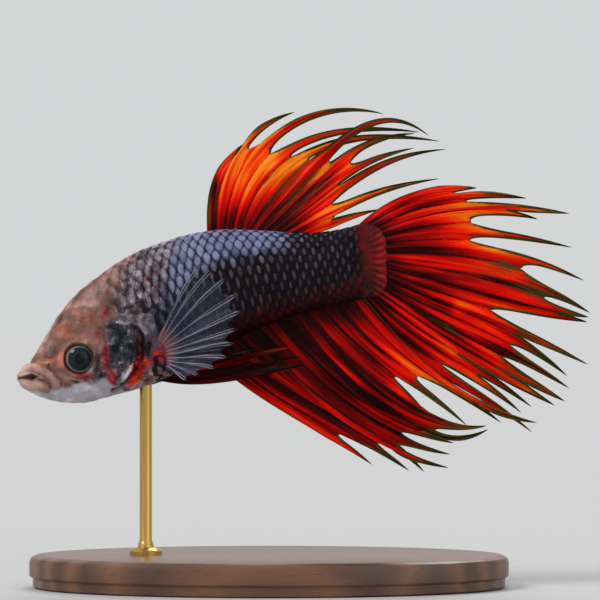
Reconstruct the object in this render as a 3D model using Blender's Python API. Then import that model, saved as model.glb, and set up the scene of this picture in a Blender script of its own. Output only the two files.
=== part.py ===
"""Crowntail betta (Siamese fighting fish), life size, swimming nose-down to the left on a display stand.

The fish is first laid out straight and symmetric, in millimetres, with -X towards the snout, +Z up and
Y across, then every point goes through bend(), which swings the head and the tail a little to the left.
The origin is the middle of the underside of the stand. Rows of the tables read from snout to tail.
"""

import math

import bmesh
import bpy
import numpy as np

MM = 0.001

# Driving dimensions, in millimetres.
GAP = 0.3  # air between neighbouring solids
FIN_THICKNESS = 0.55
TIP_HALF_WIDTH = 0.25
PLEAT = 0.42  # neighbouring rays lean to opposite sides by this much at their tips
EYE_RADIUS = 1.95
EYE_HALF_DEPTH = 1.25
EYE_STANDS_OUT = 0.45
GILL_PLATE = 0.7
ROD_RADIUS = 0.75
ROD_X = -14.9
ROD_TOP = 25.7  # 1.6 mm inside the breast
BASE_LENGTH, BASE_WIDTH, BASE_HEIGHT, BASE_BEVEL = 58.0, 34.0, 4.0, 0.8

# Mesh fineness.
RING_SIDES = 24
CUTTER_REACH = 6.0  # how far a sideways cutter runs from the middle: past the skin
FIN_ROWS = (0.0, 0.2, 0.4, 0.52, 0.62, 0.72, 0.82, 0.92, 1.0)
SMALL_FIN_ROWS = (0.0, 0.35, 0.65, 0.9, 1.0)

# The swing of the body to the left: (x where it starts, x where it is full, sideways move there).
HEAD_SWING = (-8.0, -30.2, -2.3)
TAIL_SWING = (2.0, 38.0, -2.6)

# The body: back x, z, then the belly's x, z under it, half width, and how high up it is widest (0 to 1).
STATIONS = (
    (-30.25, 25.75, -30.15, 24.95, 0.60, 0.50),  # lips
    (-29.55, 26.55, -29.55, 24.15, 1.15, 0.50),
    (-28.60, 27.75, -28.00, 23.15, 1.70, 0.48),
    (-27.30, 30.00, -25.40, 22.35, 2.30, 0.45),  # nostrils
    (-25.45, 33.05, -22.30, 22.20, 2.95, 0.42),  # eyes
    (-23.20, 35.75, -18.90, 23.05, 3.60, 0.42),  # cheeks
    (-20.30, 38.05, -15.20, 24.05, 4.05, 0.44),  # gill covers
    (-16.44, 40.44, -11.60, 25.40, 4.15, 0.47),  # pectoral fins
    (-13.00, 41.80, -8.70, 26.95, 4.00, 0.50),
    (-9.48, 42.84, -5.76, 28.90, 3.70, 0.52),
    (-5.60, 43.38, -2.40, 30.65, 3.30, 0.53),
    (-1.00, 43.28, 1.40, 32.20, 2.80, 0.53),
    (4.00, 42.95, 5.60, 33.50, 2.15, 0.52),
    (8.00, 43.30, 9.20, 34.40, 1.50, 0.50),
    (11.60, 44.20, 12.30, 34.90, 0.85, 0.50),  # root of the tail fin
)
LIPS, CHEEK, NECK, WRIST, TAIL_ROOT = 0.0, 4.2, 6.75, 11.3, 14.0
THROAT = 5.3  # station where the gill slit meets under the throat
STATION_PITCH = 3.4  # usual distance from one station to the next

# Landmarks on the left side, seen from the left: (x, z).
EYE = (-23.1, 27.7)
JAW_CORNER = (-26.1, 24.5)
MOUTH_FRONT = (-31.0, 25.75)
JAW_HEEL = (-25.0, 21.5)
GILL_COVER_CENTRE = (-17.2, 29.0)
GILL_COVER_RADII = (2.7, 3.9)

# Fins: one row for each ray: its tip's x and z, its angles in degrees at root and at tip, and how far along
# the webbing to the next ray goes (0 to 1). Rays run from front to back, or from top to bottom. Reach is how
# far a ray keeps to each of its angles, as a share of the way from root to tip.
DORSAL = {
    "root": ((-7.0, 42.7), (2.6, 42.4)),
    "root_y": (0.0, 0.0),
    "rays": (
        (-3.4, 53.6, 94, 55, 0.72),
        (2.9, 57.6, 87, 20, 0.52),
        (13.6, 57.4, 82, -10, 0.52),
        (17.2, 56.0, 77, -6, 0.52),
        (20.6, 54.9, 70, -6, 0.72),
        (20.4, 53.9, 62, -6, 0.72),
        (18.9, 53.4, 54, 0, 0.72),
        (17.9, 52.2, 48, 6, 0.52),
        (21.2, 51.9, 40, 8, 0.52),
        (20.2, 49.4, 32, 8, 0.52),
        (13.1, 45.9, 22, 12, 0.0),
    ),
    "reach": (0.44, 0.36),
    "blade": 0.62,
    "sway": (1.6, 0.9, 1.9),
    "leaves": 1.6,
}
CAUDAL = {
    "root": ((12.15, 43.3), (12.65, 35.6)),
    "root_y": (0.0, 0.0),
    "rays": (
        (25.1, 48.3, 45, 0, 0.72),
        (31.1, 47.0, 38, -8, 0.62),
        (36.1, 45.2, 28, -9, 0.82),
        (32.4, 44.5, 24, -15, 0.52),
        (36.4, 41.1, 17, -13, 0.52),
        (37.9, 37.1, 5, -27, 0.72),
        (38.6, 33.3, -5, -33, 0.82),
        (38.5, 32.7, -12, -14, 0.92),
        (38.2, 32.0, -18, -9, 0.62),
        (38.4, 27.0, -22, -28, 0.72),
        (35.8, 25.6, -28, -40, 0.72),
        (36.0, 24.1, -32, -34, 0.72),
        (35.4, 22.6, -35, -32, 0.82),
        (34.2, 21.9, -38, -30, 0.52),
        (31.6, 21.8, -41, -38, 0.72),
        (30.3, 21.4, -44, -42, 0.52),
        (31.6, 18.8, -50, -43, 0.0),
    ),
    "reach": (0.36, 0.36),
    "blade": 0.60,
    "sway": (-0.4, 0.7, 2.1),
    "leaves": 1.6,
}
ANAL = {
    "root": ((-7.9, 29.3), (10.3, 35.9)),
    "root_y": (0.0, 0.0),
    "rays": (
        (12.3, 15.0, -48, -38, 0.72),
        (15.9, 14.3, -48, -37, 0.92),
        (18.0, 13.9, -49, -36, 0.82),
        (20.2, 15.3, -50, -32, 0.92),
        (21.9, 14.6, -51, -32, 0.82),
        (22.1, 16.3, -52, -30, 0.82),
        (22.4, 17.7, -53, -28, 0.92),
        (24.5, 18.4, -54, -24, 0.72),
        (26.4, 19.4, -55, -20, 0.62),
        (23.9, 19.9, -56, -42, 0.62),
        (28.1, 20.0, -57, -36, 0.82),
        (32.5, 20.1, -58, -12, 0.0),
    ),
    "reach": (0.34, 0.34),
    "blade": 0.50,
    "sway": (-1.5, 0.5, -2.9),
    "leaves": 1.6,
}
PELVIC = {
    "root": ((-13.3, 25.4), (-10.9, 26.7)),
    "root_y": (0.95, 0.95),
    "rays": (
        (4.1, 26.9, -14, 8, 0.80),
        (3.9, 28.0, -8, 8, 0.60),
        (3.1, 29.1, -2, 6, 0.60),
        (-1.4, 28.9, 5, 5, 0.0),
    ),
    "reach": (0.34, 0.34),
    "blade": 0.35,
    "sway": (1.2, 0.0, 1.6),
    "leaves": 1.6,
}
PECTORAL = {
    "root": ((-13.55, 29.85), (-12.55, 27.0)),
    "root_y": (3.6, 2.5),
    "rays": (
        (-7.9, 39.2, 66, 48, 0.90),
        (-5.9, 38.1, 55, 38, 0.90),
        (-3.8, 36.0, 42, 32, 0.90),
        (-3.0, 33.4, 28, 22, 0.90),
        (-3.9, 30.4, 13, 10, 0.90),
        (-4.6, 28.0, -1, -5, 0.90),
        (-6.6, 26.5, -14, -18, 0.90),
        (-9.9, 25.2, -28, -34, 0.0),
    ),
    "reach": (0.34, 0.34),
    "blade": 0.35,
    "sway": (3.6, 0.0, 3.9),
    "leaves": 0.8,
}

# Colours of the solids: sRGB hex value and roughness.
FINISHES = {
    "flesh_head": ("8B6F66", 0.45),
    "flesh_body": ("4A4656", 0.40),
    "eye": ("14181C", 0.10),
    "fin_red": ("C3200C", 0.45),
    "fin_clear": ("8C8C98", 0.45),
    "walnut": ("4A2E1E", 0.45),
    "brass": ("B08D4A", 0.30),
}


# ---------------------------------------------------------------------------------------------- helpers


def clear_scene():
    for old in list(bpy.data.objects):
        bpy.data.objects.remove(old, do_unlink=True)


def material(name):
    """The Principled material of that name, made on first use."""
    found = bpy.data.materials.get(name)
    if found:
        return found
    code, roughness = FINISHES[name]
    made = bpy.data.materials.new(name)
    made.use_nodes = True
    shader = made.node_tree.nodes["Principled BSDF"]
    linear = [((int(code[i : i + 2], 16) / 255 + 0.055) / 1.055) ** 2.4 for i in (0, 2, 4)]
    shader.inputs["Base Color"].default_value = (*linear, 1.0)
    shader.inputs["Roughness"].default_value = roughness
    shader.inputs["Metallic"].default_value = 1.0 if name == "brass" else 0.0
    return made


def add_object(name, points, faces, finish, helper=False):
    """A mesh object from points in millimetres. A helper only cuts, and is left out of renders."""
    mesh = bpy.data.meshes.new(name)
    mesh.from_pydata([tuple(p) for p in np.asarray(points) * MM], [], faces)
    mesh.validate()
    mesh.materials.append(material(finish))
    shape = bmesh.new()
    shape.from_mesh(mesh)
    bmesh.ops.recalc_face_normals(shape, faces=shape.faces)
    bmesh.ops.triangulate(shape, faces=[f for f in shape.faces if helper or len(f.verts) > 4])
    shape.to_mesh(mesh)
    shape.free()
    mesh.shade_smooth()
    mesh.set_sharp_from_angle(angle=math.radians(40))
    made = bpy.data.objects.new(name, mesh)
    bpy.context.scene.collection.objects.link(made)
    if helper:
        made.hide_render = True
        made.display_type = "WIRE"
    return made


def cut(target, cutter, operation="DIFFERENCE"):
    boolean = target.modifiers.new(cutter.name, "BOOLEAN")
    boolean.operation = operation
    boolean.object = cutter


def swing(x, start, full, move):
    """Sideways place and slope at x of a curve that starts straight at start and reaches move at full."""
    share = np.clip((x - start) / (full - start), 0.0, None)
    return move * share**2, 2 * move * share / (full - start)


def bend(points):
    """Points of the straight fish, carried round the curve of its back."""
    p = np.array(points, float)
    head_y, head_slope = swing(p[:, 0], *HEAD_SWING)
    tail_y, tail_slope = swing(p[:, 0], *TAIL_SWING)
    turn = np.arctan(head_slope + tail_slope)
    y = p[:, 1].copy()
    p[:, 0] -= y * np.sin(turn)
    p[:, 1] = head_y + tail_y + y * np.cos(turn)
    return p


# ------------------------------------------------------------------------------------------------- body


def station(u):
    """The body's six station values at u, on a smooth curve through the rows of STATIONS."""
    rows = np.array(STATIONS)
    u = np.clip(np.asarray(u, float), 0, len(rows) - 1)
    i = np.minimum(u.astype(int), len(rows) - 2)
    t = (u - i)[..., None]
    p0, p1 = rows[np.maximum(i - 1, 0)], rows[i]
    p2, p3 = rows[i + 1], rows[np.minimum(i + 2, len(rows) - 1)]
    return p1 + 0.5 * t * (p2 - p0 + t * (2 * p0 - 5 * p1 + 4 * p2 - p3 + t * (3 * (p1 - p2) + p3 - p0)))


def body_points(u, angle, grow=0.0):
    """Points of the skin at station u and at an angle round it: 0 at the back, positive towards +Y."""
    s = station(u)
    back, belly = s[..., 0:2], s[..., 2:4]
    tall = (back - belly) / np.linalg.norm(back - belly, axis=-1, keepdims=True)
    back, belly = back + grow * tall, belly - grow * tall
    width, level = np.maximum(s[..., 4] + grow, 0.05), s[..., 5:6]
    middle = belly + level * (back - belly)
    up = np.cos(angle)[..., None]
    height = np.where(up > 0, back - middle, belly - middle) * np.abs(up)
    x, z = np.moveaxis(middle + height, -1, 0)
    return np.stack([x, width * np.sin(angle), z], axis=-1)


def neck_line(angle, shift=0.0):
    """Station of the gill slit at an angle: it runs forwards under the throat."""
    under = np.clip(-np.cos(angle), 0, 1) ** 1.5
    return NECK + (THROAT - NECK) * under + shift


def flat_line(place):
    return lambda angle: np.full_like(angle, place)


def body_length(name, start, end, rings, finish, grow=0.0, helper=False):
    """A closed length of the body between two lines round it. Its ends are shallow cones to the middle."""
    angle = np.linspace(0, 2 * math.pi, RING_SIDES, endpoint=False)
    first, last = start(angle), end(angle)
    loops = [bend(body_points(first + (last - first) * k / rings, angle, grow)) for k in range(rings + 1)]
    points = np.concatenate([*loops, [loops[0].mean(axis=0)], [loops[-1].mean(axis=0)]])
    faces = []
    for k in range(rings):
        for a in range(RING_SIDES):
            b = (a + 1) % RING_SIDES
            low, high = k * RING_SIDES, (k + 1) * RING_SIDES
            faces.append((low + a, low + b, high + b, high + a))
    front, rear = len(points) - 2, len(points) - 1
    for a in range(RING_SIDES):
        b = (a + 1) % RING_SIDES
        faces.append((front, b, a))
        faces.append((rear, rings * RING_SIDES + a, rings * RING_SIDES + b))
    return add_object(name, points, faces, finish, helper)


def side_prism(name, outline, inner, outer, grow):
    """A cutter: an outline in side view, moved out from its centre by grow, from Y inner to Y outer."""
    flat = np.array(outline, float)
    away = flat - flat.mean(axis=0)
    flat = flat + grow * away / np.linalg.norm(away, axis=1, keepdims=True)
    count = len(flat)
    points = [(x, y, z) for y in (inner, outer) for x, z in flat]
    faces = [tuple(range(count)), tuple(range(count, 2 * count))]
    faces += [(i, (i + 1) % count, count + (i + 1) % count, count + i) for i in range(count)]
    return add_object(name, bend(points), faces, "flesh_head", helper=True)


def ellipsoid(name, centre, radii, finish, helper=False, sides=16, rings=8):
    """An ellipsoid whose poles lie along Y, as an eye does."""
    points = [(0, -1, 0)]
    for ring in range(1, rings):
        down = math.pi * ring / rings
        for a in range(sides):
            turn = 2 * math.pi * a / sides
            out = math.sin(down)
            points.append((out * math.cos(turn), -math.cos(down), out * math.sin(turn)))
    points.append((0, 1, 0))
    faces = []
    for a in range(sides):
        b = (a + 1) % sides
        faces.append((0, 1 + a, 1 + b))
        faces.append((len(points) - 1, len(points) - 1 - sides + b, len(points) - 1 - sides + a))
        for ring in range(rings - 2):
            low = 1 + ring * sides
            faces.append((low + a, low + sides + a, low + sides + b, low + b))
    return add_object(name, bend(np.array(points) * radii + centre), faces, finish, helper)


def half_width_at(x, z):
    """Half the body's width at a point of its side view, by a fine search over the skin."""
    u, angle = np.meshgrid(np.linspace(0, TAIL_ROOT, 281), np.linspace(0, math.pi, 91), indexing="ij")
    skin = body_points(u, angle).reshape(-1, 3)
    nearest = np.argmin((skin[:, 0] - x) ** 2 + (skin[:, 2] - z) ** 2)
    return skin[nearest, 1]


# ----------------------------------------------------------------------------------------------- pieces


def build_eyes(head):
    """Two eyeballs, each in a socket of its own in the head."""
    across = half_width_at(*EYE) + EYE_STANDS_OUT - EYE_HALF_DEPTH
    for side, sign in (("left", -1), ("right", 1)):
        centre = (EYE[0], sign * across, EYE[1])
        ellipsoid(f"eye_{side}", centre, (EYE_RADIUS, EYE_HALF_DEPTH, EYE_RADIUS), "eye")
        room = (EYE_RADIUS + GAP, EYE_HALF_DEPTH + GAP, EYE_RADIUS + GAP)
        cut(head, ellipsoid(f"socket_{side}", centre, room, "eye", helper=True))


def build_jaw(head):
    """The lower jaw, parted from the head along the mouth's line and down behind the mouth's corner."""
    outline = (MOUTH_FRONT, JAW_CORNER, JAW_HEEL, (MOUTH_FRONT[0], JAW_HEEL[1]))
    jaw = body_length("lower_jaw", flat_line(LIPS), flat_line(CHEEK), 9, "flesh_head")
    cut(jaw, side_prism("jaw_inside", outline, -CUTTER_REACH, CUTTER_REACH, -GAP / 2), "INTERSECT")
    cut(head, side_prism("jaw_outside", outline, -CUTTER_REACH, CUTTER_REACH, GAP / 2))


def build_gill_covers(head):
    """A thin oval plate on each side, let into a pocket in the head."""
    turn = np.linspace(0, 2 * math.pi, 16, endpoint=False)
    outline = np.column_stack([np.cos(turn), np.sin(turn)]) * GILL_COVER_RADII + GILL_COVER_CENTRE
    start, end = flat_line(CHEEK - 0.2), flat_line(NECK + 1.25)  # past both ends of the covers
    core = body_length("gill_core", start, end, 8, "flesh_head", -GILL_PLATE - GAP, helper=True)
    lining = body_length("gill_lining", start, end, 8, "flesh_head", -GILL_PLATE, helper=True)
    for side, sign in (("left", -1), ("right", 1)):
        inner, outer = sign * GILL_PLATE, sign * CUTTER_REACH
        pocket = side_prism(f"gill_pocket_{side}", outline, inner, outer, GAP / 2)
        cut(pocket, core)
        cut(head, pocket)
        cover = body_length(f"gill_cover_{side}", flat_line(CHEEK), neck_line, 10, "flesh_head")
        cut(cover, side_prism(f"gill_outline_{side}", outline, inner, outer, -GAP / 2), "INTERSECT")
        cut(cover, lining)


def build_body():
    """Head, trunk and wrist of the tail, each a length of one body."""
    half_gap = GAP / 2 / STATION_PITCH
    wrist_front, wrist_rear = flat_line(WRIST - half_gap), flat_line(WRIST + half_gap)
    head = body_length("head", flat_line(LIPS), lambda angle: neck_line(angle, -half_gap), 14, "flesh_head")
    body_length("trunk", lambda angle: neck_line(angle, half_gap), wrist_front, 8, "flesh_body")
    body_length("tail_wrist", wrist_rear, flat_line(TAIL_ROOT), 5, "flesh_body")
    return head


def heading(degrees):
    return np.array([math.cos(math.radians(degrees)), math.sin(math.radians(degrees))])


def ray_curve(root, ray, reach, t):
    """Points at t on a ray: a cubic curve from root to tip, at the ray's two angles."""
    tip, t = np.array(ray[:2]), np.asarray(t)[:, None]
    length = np.linalg.norm(tip - root)
    first = root + heading(ray[2]) * reach[0] * length
    second = tip - heading(ray[3]) * reach[1] * length
    near, far = 1 - t, t
    return near**3 * root + 3 * far * near**2 * first + 3 * far**2 * near * second + far**3 * tip


def fin_grid(fin, rows):
    """Side-view points and depths of a fin, as (ray, left edge / middle / right edge, row, x z depth)."""
    t = np.array(rows)
    count = len(fin["rays"])
    front, rear = np.array(fin["root"])
    curves = [
        ray_curve(front + (rear - front) * i / (count - 1), ray, fin["reach"], t)
        for i, ray in enumerate(fin["rays"])
    ]
    first, wave, last = fin["sway"]
    first_root, last_root = fin["root_y"]
    grid = np.zeros((count, 3, len(t), 3))
    for i, curve in enumerate(curves):
        across = i / (count - 1)
        sway = first + (last - first) * across + wave * math.sin(2 * math.pi * 1.5 * across)
        pleat = PLEAT * (-1) ** i
        along = np.gradient(curve, axis=0)
        along /= np.linalg.norm(along, axis=1, keepdims=True)
        blade = np.maximum(fin["blade"] * (1 - t) ** 0.6, TIP_HALF_WIDTH)
        outward = np.stack([-along[:, 1], along[:, 0]], axis=1) * blade[:, None]
        depth = first_root + (last_root - first_root) * across + sway * t ** fin["leaves"] + pleat * t
        grid[i, 1] = np.column_stack([curve, depth])
        grid[i, 0] = np.column_stack([curve + outward, depth])
        grid[i, 2] = np.column_stack([curve - outward, depth])
    for i in range(count - 1):
        web = fin["rays"][i][4]
        open_share = np.clip((t - web) / 0.12, 0, 1)[:, None]
        open_share = np.sqrt(1 - (1 - open_share) ** 2)
        halfway = (grid[i, 1] + grid[i + 1, 1]) / 2
        toward_next = 2 if front_to_back(fin, curves) else 0
        grid[i, toward_next] = halfway + open_share * (grid[i, toward_next] - halfway)
        grid[i + 1, 2 - toward_next] = halfway + open_share * (grid[i + 1, 2 - toward_next] - halfway)
    return grid


def front_to_back(fin, curves):
    """True if the next ray lies on the right of a ray that is seen running up."""
    along = curves[0][1] - curves[0][0]
    across = curves[1][0] - curves[0][0]
    return along[0] * across[1] - along[1] * across[0] < 0


def fin_sheet(name, fin, rows, finish, sign=1.0):
    """A fin of FIN_THICKNESS: a strip for each ray, webbed to the next as far as the table says."""
    x, z, depth = np.moveaxis(fin_grid(fin, rows), -1, 0)
    grid = bend(np.stack([x, sign * depth, z], axis=-1).reshape(-1, 3)).reshape(*x.shape, 3)
    points, faces = [], []
    for strip in grid:
        for column in range(2):
            for row in range(len(rows) - 1):
                start = len(points)
                points += [
                    strip[column, row],
                    strip[column + 1, row],
                    strip[column + 1, row + 1],
                    strip[column, row + 1],
                ]
                faces.append((start, start + 1, start + 2, start + 3))
    made = add_object(name, points, faces, finish)
    sheet = bmesh.new()
    sheet.from_mesh(made.data)
    bmesh.ops.remove_doubles(sheet, verts=sheet.verts, dist=0.002 * MM)
    bmesh.ops.recalc_face_normals(sheet, faces=sheet.faces)
    sheet.to_mesh(made.data)
    sheet.free()
    thick = made.modifiers.new("thickness", "SOLIDIFY")
    thick.thickness = FIN_THICKNESS * MM
    thick.offset = 0
    return made


def build_fins():
    """Every fin starts inside the body, and is cut back to leave a gap over the skin."""
    fins = [
        fin_sheet("dorsal_fin", DORSAL, FIN_ROWS, "fin_red"),
        fin_sheet("tail_fin", CAUDAL, FIN_ROWS, "fin_red"),
        fin_sheet("anal_fin", ANAL, FIN_ROWS, "fin_red"),
    ]
    for side, sign in (("left", -1.0), ("right", 1.0)):
        fins.append(fin_sheet(f"pelvic_fin_{side}", PELVIC, SMALL_FIN_ROWS, "fin_red", sign))
        fins.append(fin_sheet(f"pectoral_fin_{side}", PECTORAL, SMALL_FIN_ROWS, "fin_clear", sign))
    room = body_length("fin_room", flat_line(LIPS), flat_line(TAIL_ROOT), 40, "flesh_body", GAP, True)
    for fin in fins:
        cut(fin, room)


def round_bar(name, radius, low, high, helper=False):
    """An upright round bar at the rod's place."""
    middle = bend([(ROD_X, 0, 0)])[0][1]
    place = (ROD_X * MM, middle * MM, (low + high) / 2 * MM)
    height = (high - low) * MM
    bpy.ops.mesh.primitive_cylinder_add(vertices=16, radius=radius * MM, depth=height, location=place)
    bar = bpy.context.object
    bar.name = name
    bar.data.materials.append(material("brass"))
    bar.data.shade_smooth()
    bar.data.set_sharp_from_angle(angle=math.radians(40))
    if helper:
        bar.hide_render = True
        bar.display_type = "WIRE"
    return bar


def build_stand(flesh):
    """An oval plinth, and an upright rod that ends inside the flesh of the breast."""
    bpy.ops.mesh.primitive_cylinder_add(vertices=40, radius=0.5 * MM, depth=BASE_HEIGHT * MM)
    base = bpy.context.object
    base.name = "stand_base"
    base.scale = (BASE_LENGTH, BASE_WIDTH, 1)
    base.location.z = BASE_HEIGHT / 2 * MM
    bpy.ops.object.transform_apply(location=False, rotation=False, scale=True)
    base.data.materials.append(material("walnut"))
    edge = base.modifiers.new("edge", "BEVEL")
    edge.width = BASE_BEVEL * MM
    edge.segments = 1
    round_bar("stand_rod", ROD_RADIUS, BASE_HEIGHT + GAP, ROD_TOP)
    hole = round_bar("rod_hole", ROD_RADIUS + GAP, BASE_HEIGHT, ROD_TOP + GAP, helper=True)
    for piece in flesh:
        cut(piece, hole)


def main():
    clear_scene()
    head = build_body()
    build_eyes(head)
    build_jaw(head)
    build_gill_covers(head)
    build_fins()
    build_stand([head, bpy.data.objects["trunk"]])


main()
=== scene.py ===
"""The looks of a crowntail betta: skin, scales, eyes, fins and display stand, laid out as an add-on.

Shapes are worked out on the fish laid straight, in millimetres, with -X towards the snout, +Z up and +Y
towards its right side. bend() then swings head and tail round to the left, as on the solids.
"""

import math
from functools import partial

import bmesh
import bpy
import numpy as np
from bpy.props import FloatProperty, FloatVectorProperty, IntProperty, PointerProperty
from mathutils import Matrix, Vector


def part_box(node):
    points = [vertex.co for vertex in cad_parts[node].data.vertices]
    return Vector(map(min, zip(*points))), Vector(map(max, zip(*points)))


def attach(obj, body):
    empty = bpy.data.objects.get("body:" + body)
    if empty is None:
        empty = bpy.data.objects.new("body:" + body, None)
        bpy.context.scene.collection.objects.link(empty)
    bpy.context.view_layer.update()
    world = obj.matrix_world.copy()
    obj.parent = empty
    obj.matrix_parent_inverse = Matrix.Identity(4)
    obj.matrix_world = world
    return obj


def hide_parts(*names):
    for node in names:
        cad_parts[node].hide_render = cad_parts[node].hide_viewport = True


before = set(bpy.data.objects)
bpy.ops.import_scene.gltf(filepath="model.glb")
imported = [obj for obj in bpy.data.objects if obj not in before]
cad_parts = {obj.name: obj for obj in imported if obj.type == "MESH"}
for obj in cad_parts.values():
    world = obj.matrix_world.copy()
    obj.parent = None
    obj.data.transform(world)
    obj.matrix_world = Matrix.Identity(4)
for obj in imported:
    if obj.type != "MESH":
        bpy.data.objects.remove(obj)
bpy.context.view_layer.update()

bl_info = {
    "name": "Crowntail betta",
    "version": (1, 0, 0),
    "blender": (4, 5, 0),
    "location": "View3D > Sidebar > Betta",
    "description": "Builds the skin, scales, eyes, fins and stand of a crowntail betta",
    "category": "Object",
}

MM = 0.001

# The swing of the body to the left: (x where it starts, x where it is full, sideways move there).
HEAD_SWING = (-8.0, -30.2, -2.3)
TAIL_SWING = (2.0, 38.0, -2.6)

# The body: back x, z, then the belly's x, z under it, half width, and how high up it is widest (0 to 1).
STATIONS = (
    (-30.25, 25.75, -30.15, 24.95, 0.60, 0.50),  # lips
    (-29.55, 26.55, -29.55, 24.15, 1.15, 0.50),
    (-28.60, 27.75, -28.00, 23.15, 1.70, 0.48),
    (-27.30, 30.00, -25.40, 22.35, 2.30, 0.45),  # nostrils
    (-25.45, 33.05, -22.30, 22.20, 2.95, 0.42),  # eyes
    (-23.20, 35.75, -18.90, 23.05, 3.60, 0.42),  # cheeks
    (-20.30, 38.05, -15.20, 24.05, 4.05, 0.44),  # gill covers
    (-16.44, 40.44, -11.60, 25.40, 4.15, 0.47),  # pectoral fins
    (-13.00, 41.80, -8.70, 26.95, 4.00, 0.50),
    (-9.48, 42.84, -5.76, 28.90, 3.70, 0.52),
    (-5.60, 43.38, -2.40, 30.65, 3.30, 0.53),
    (-1.00, 43.28, 1.40, 32.20, 2.80, 0.53),
    (4.00, 42.95, 5.60, 33.50, 2.15, 0.52),
    (8.00, 43.30, 9.20, 34.40, 1.50, 0.50),
    (11.60, 44.20, 12.30, 34.90, 0.85, 0.50),  # root of the tail fin
)
LAST_STATION = len(STATIONS) - 1
LOBE_STRIP = 0.7  # stations of the skin's unwrap kept for the lobe at the tail's root
TIP_STRIP = 0.2  # and for the tip of the snout
UNWRAP = LAST_STATION + LOBE_STRIP + 0.1 + TIP_STRIP

# Landmarks of a flank, as (x, z) routes or spots where they show from that side.
LIP_ROUTE = (
    (-30.3, 25.85), (-29.75, 26.15), (-28.9, 26.5), (-28.1, 26.45), (-27.1, 26.0), (-26.3, 25.4),
    (-25.6, 24.6),
)
LIP_FOLD = ((-29.6, 25.9), (-28.9, 26.12), (-28.2, 26.0), (-27.1, 25.55), (-26.5, 25.05), (-26.2, 24.3))
GAPE_ROUTE = ((-28.4, 25.45), (-27.8, 25.2), (-27.1, 25.05))
LOWER_LIP = ((-30.3, 24.75), (-29.0, 24.55), (-27.8, 24.35), (-26.7, 24.2))
MOUTH_MIDDLE = ((-30.3, -28.5), (25.35, 25.52))  # x places along the open mouth, and its z there
MOUTH_HALF = ((-30.3, -29.5, -28.5, -27.5), (0.08, 0.16, 0.36, 0.02))  # and half its height
CHEEK_ROUTE = ((-19.8, 31.2), (-19.55, 29.4), (-19.5, 27.8), (-19.1, 26.6), (-18.6, 25.6), (-17.9, 24.9))
GILL_PLATE_EDGE = (
    (-18.6, 31.7), (-17.7, 32.0), (-16.7, 31.6), (-16.25, 30.6), (-16.15, 28.6), (-16.45, 27.2),
    (-17.1, 26.1), (-18.2, 24.7),
)
GILL_SKIN_EDGE = (
    (-16.3, 31.7), (-15.3, 31.0), (-14.8, 30.0), (-14.75, 28.7), (-15.05, 27.5), (-15.9, 26.2), (-17.1, 24.8),
    (-18.6, 23.7),
)
NOSTRIL = (-26.4, 26.95)
PORE = (-22.1, 29.75)
PECTORAL_LOBE = (-12.95, 28.5)

# Lines along the flank, as x places and the z of the line there.
CHIN_LINE = ((-30.0, -27.0, -24.5, -22.0, -19.5, -17.5, -14.0), (24.0, 23.9, 24.1, 24.7, 25.3, 24.4, 22.0))
DARK_LINE = ((-13.0, -9.0, -5.0, 0.0, 6.0, 11.0), (34.0, 37.6, 39.6, 40.6, 41.6, 43.4))
WINE_LINE = ((-10.0, -5.0, 0.0, 5.0, 10.0), (28.4, 31.4, 33.5, 34.7, 36.2))

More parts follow.
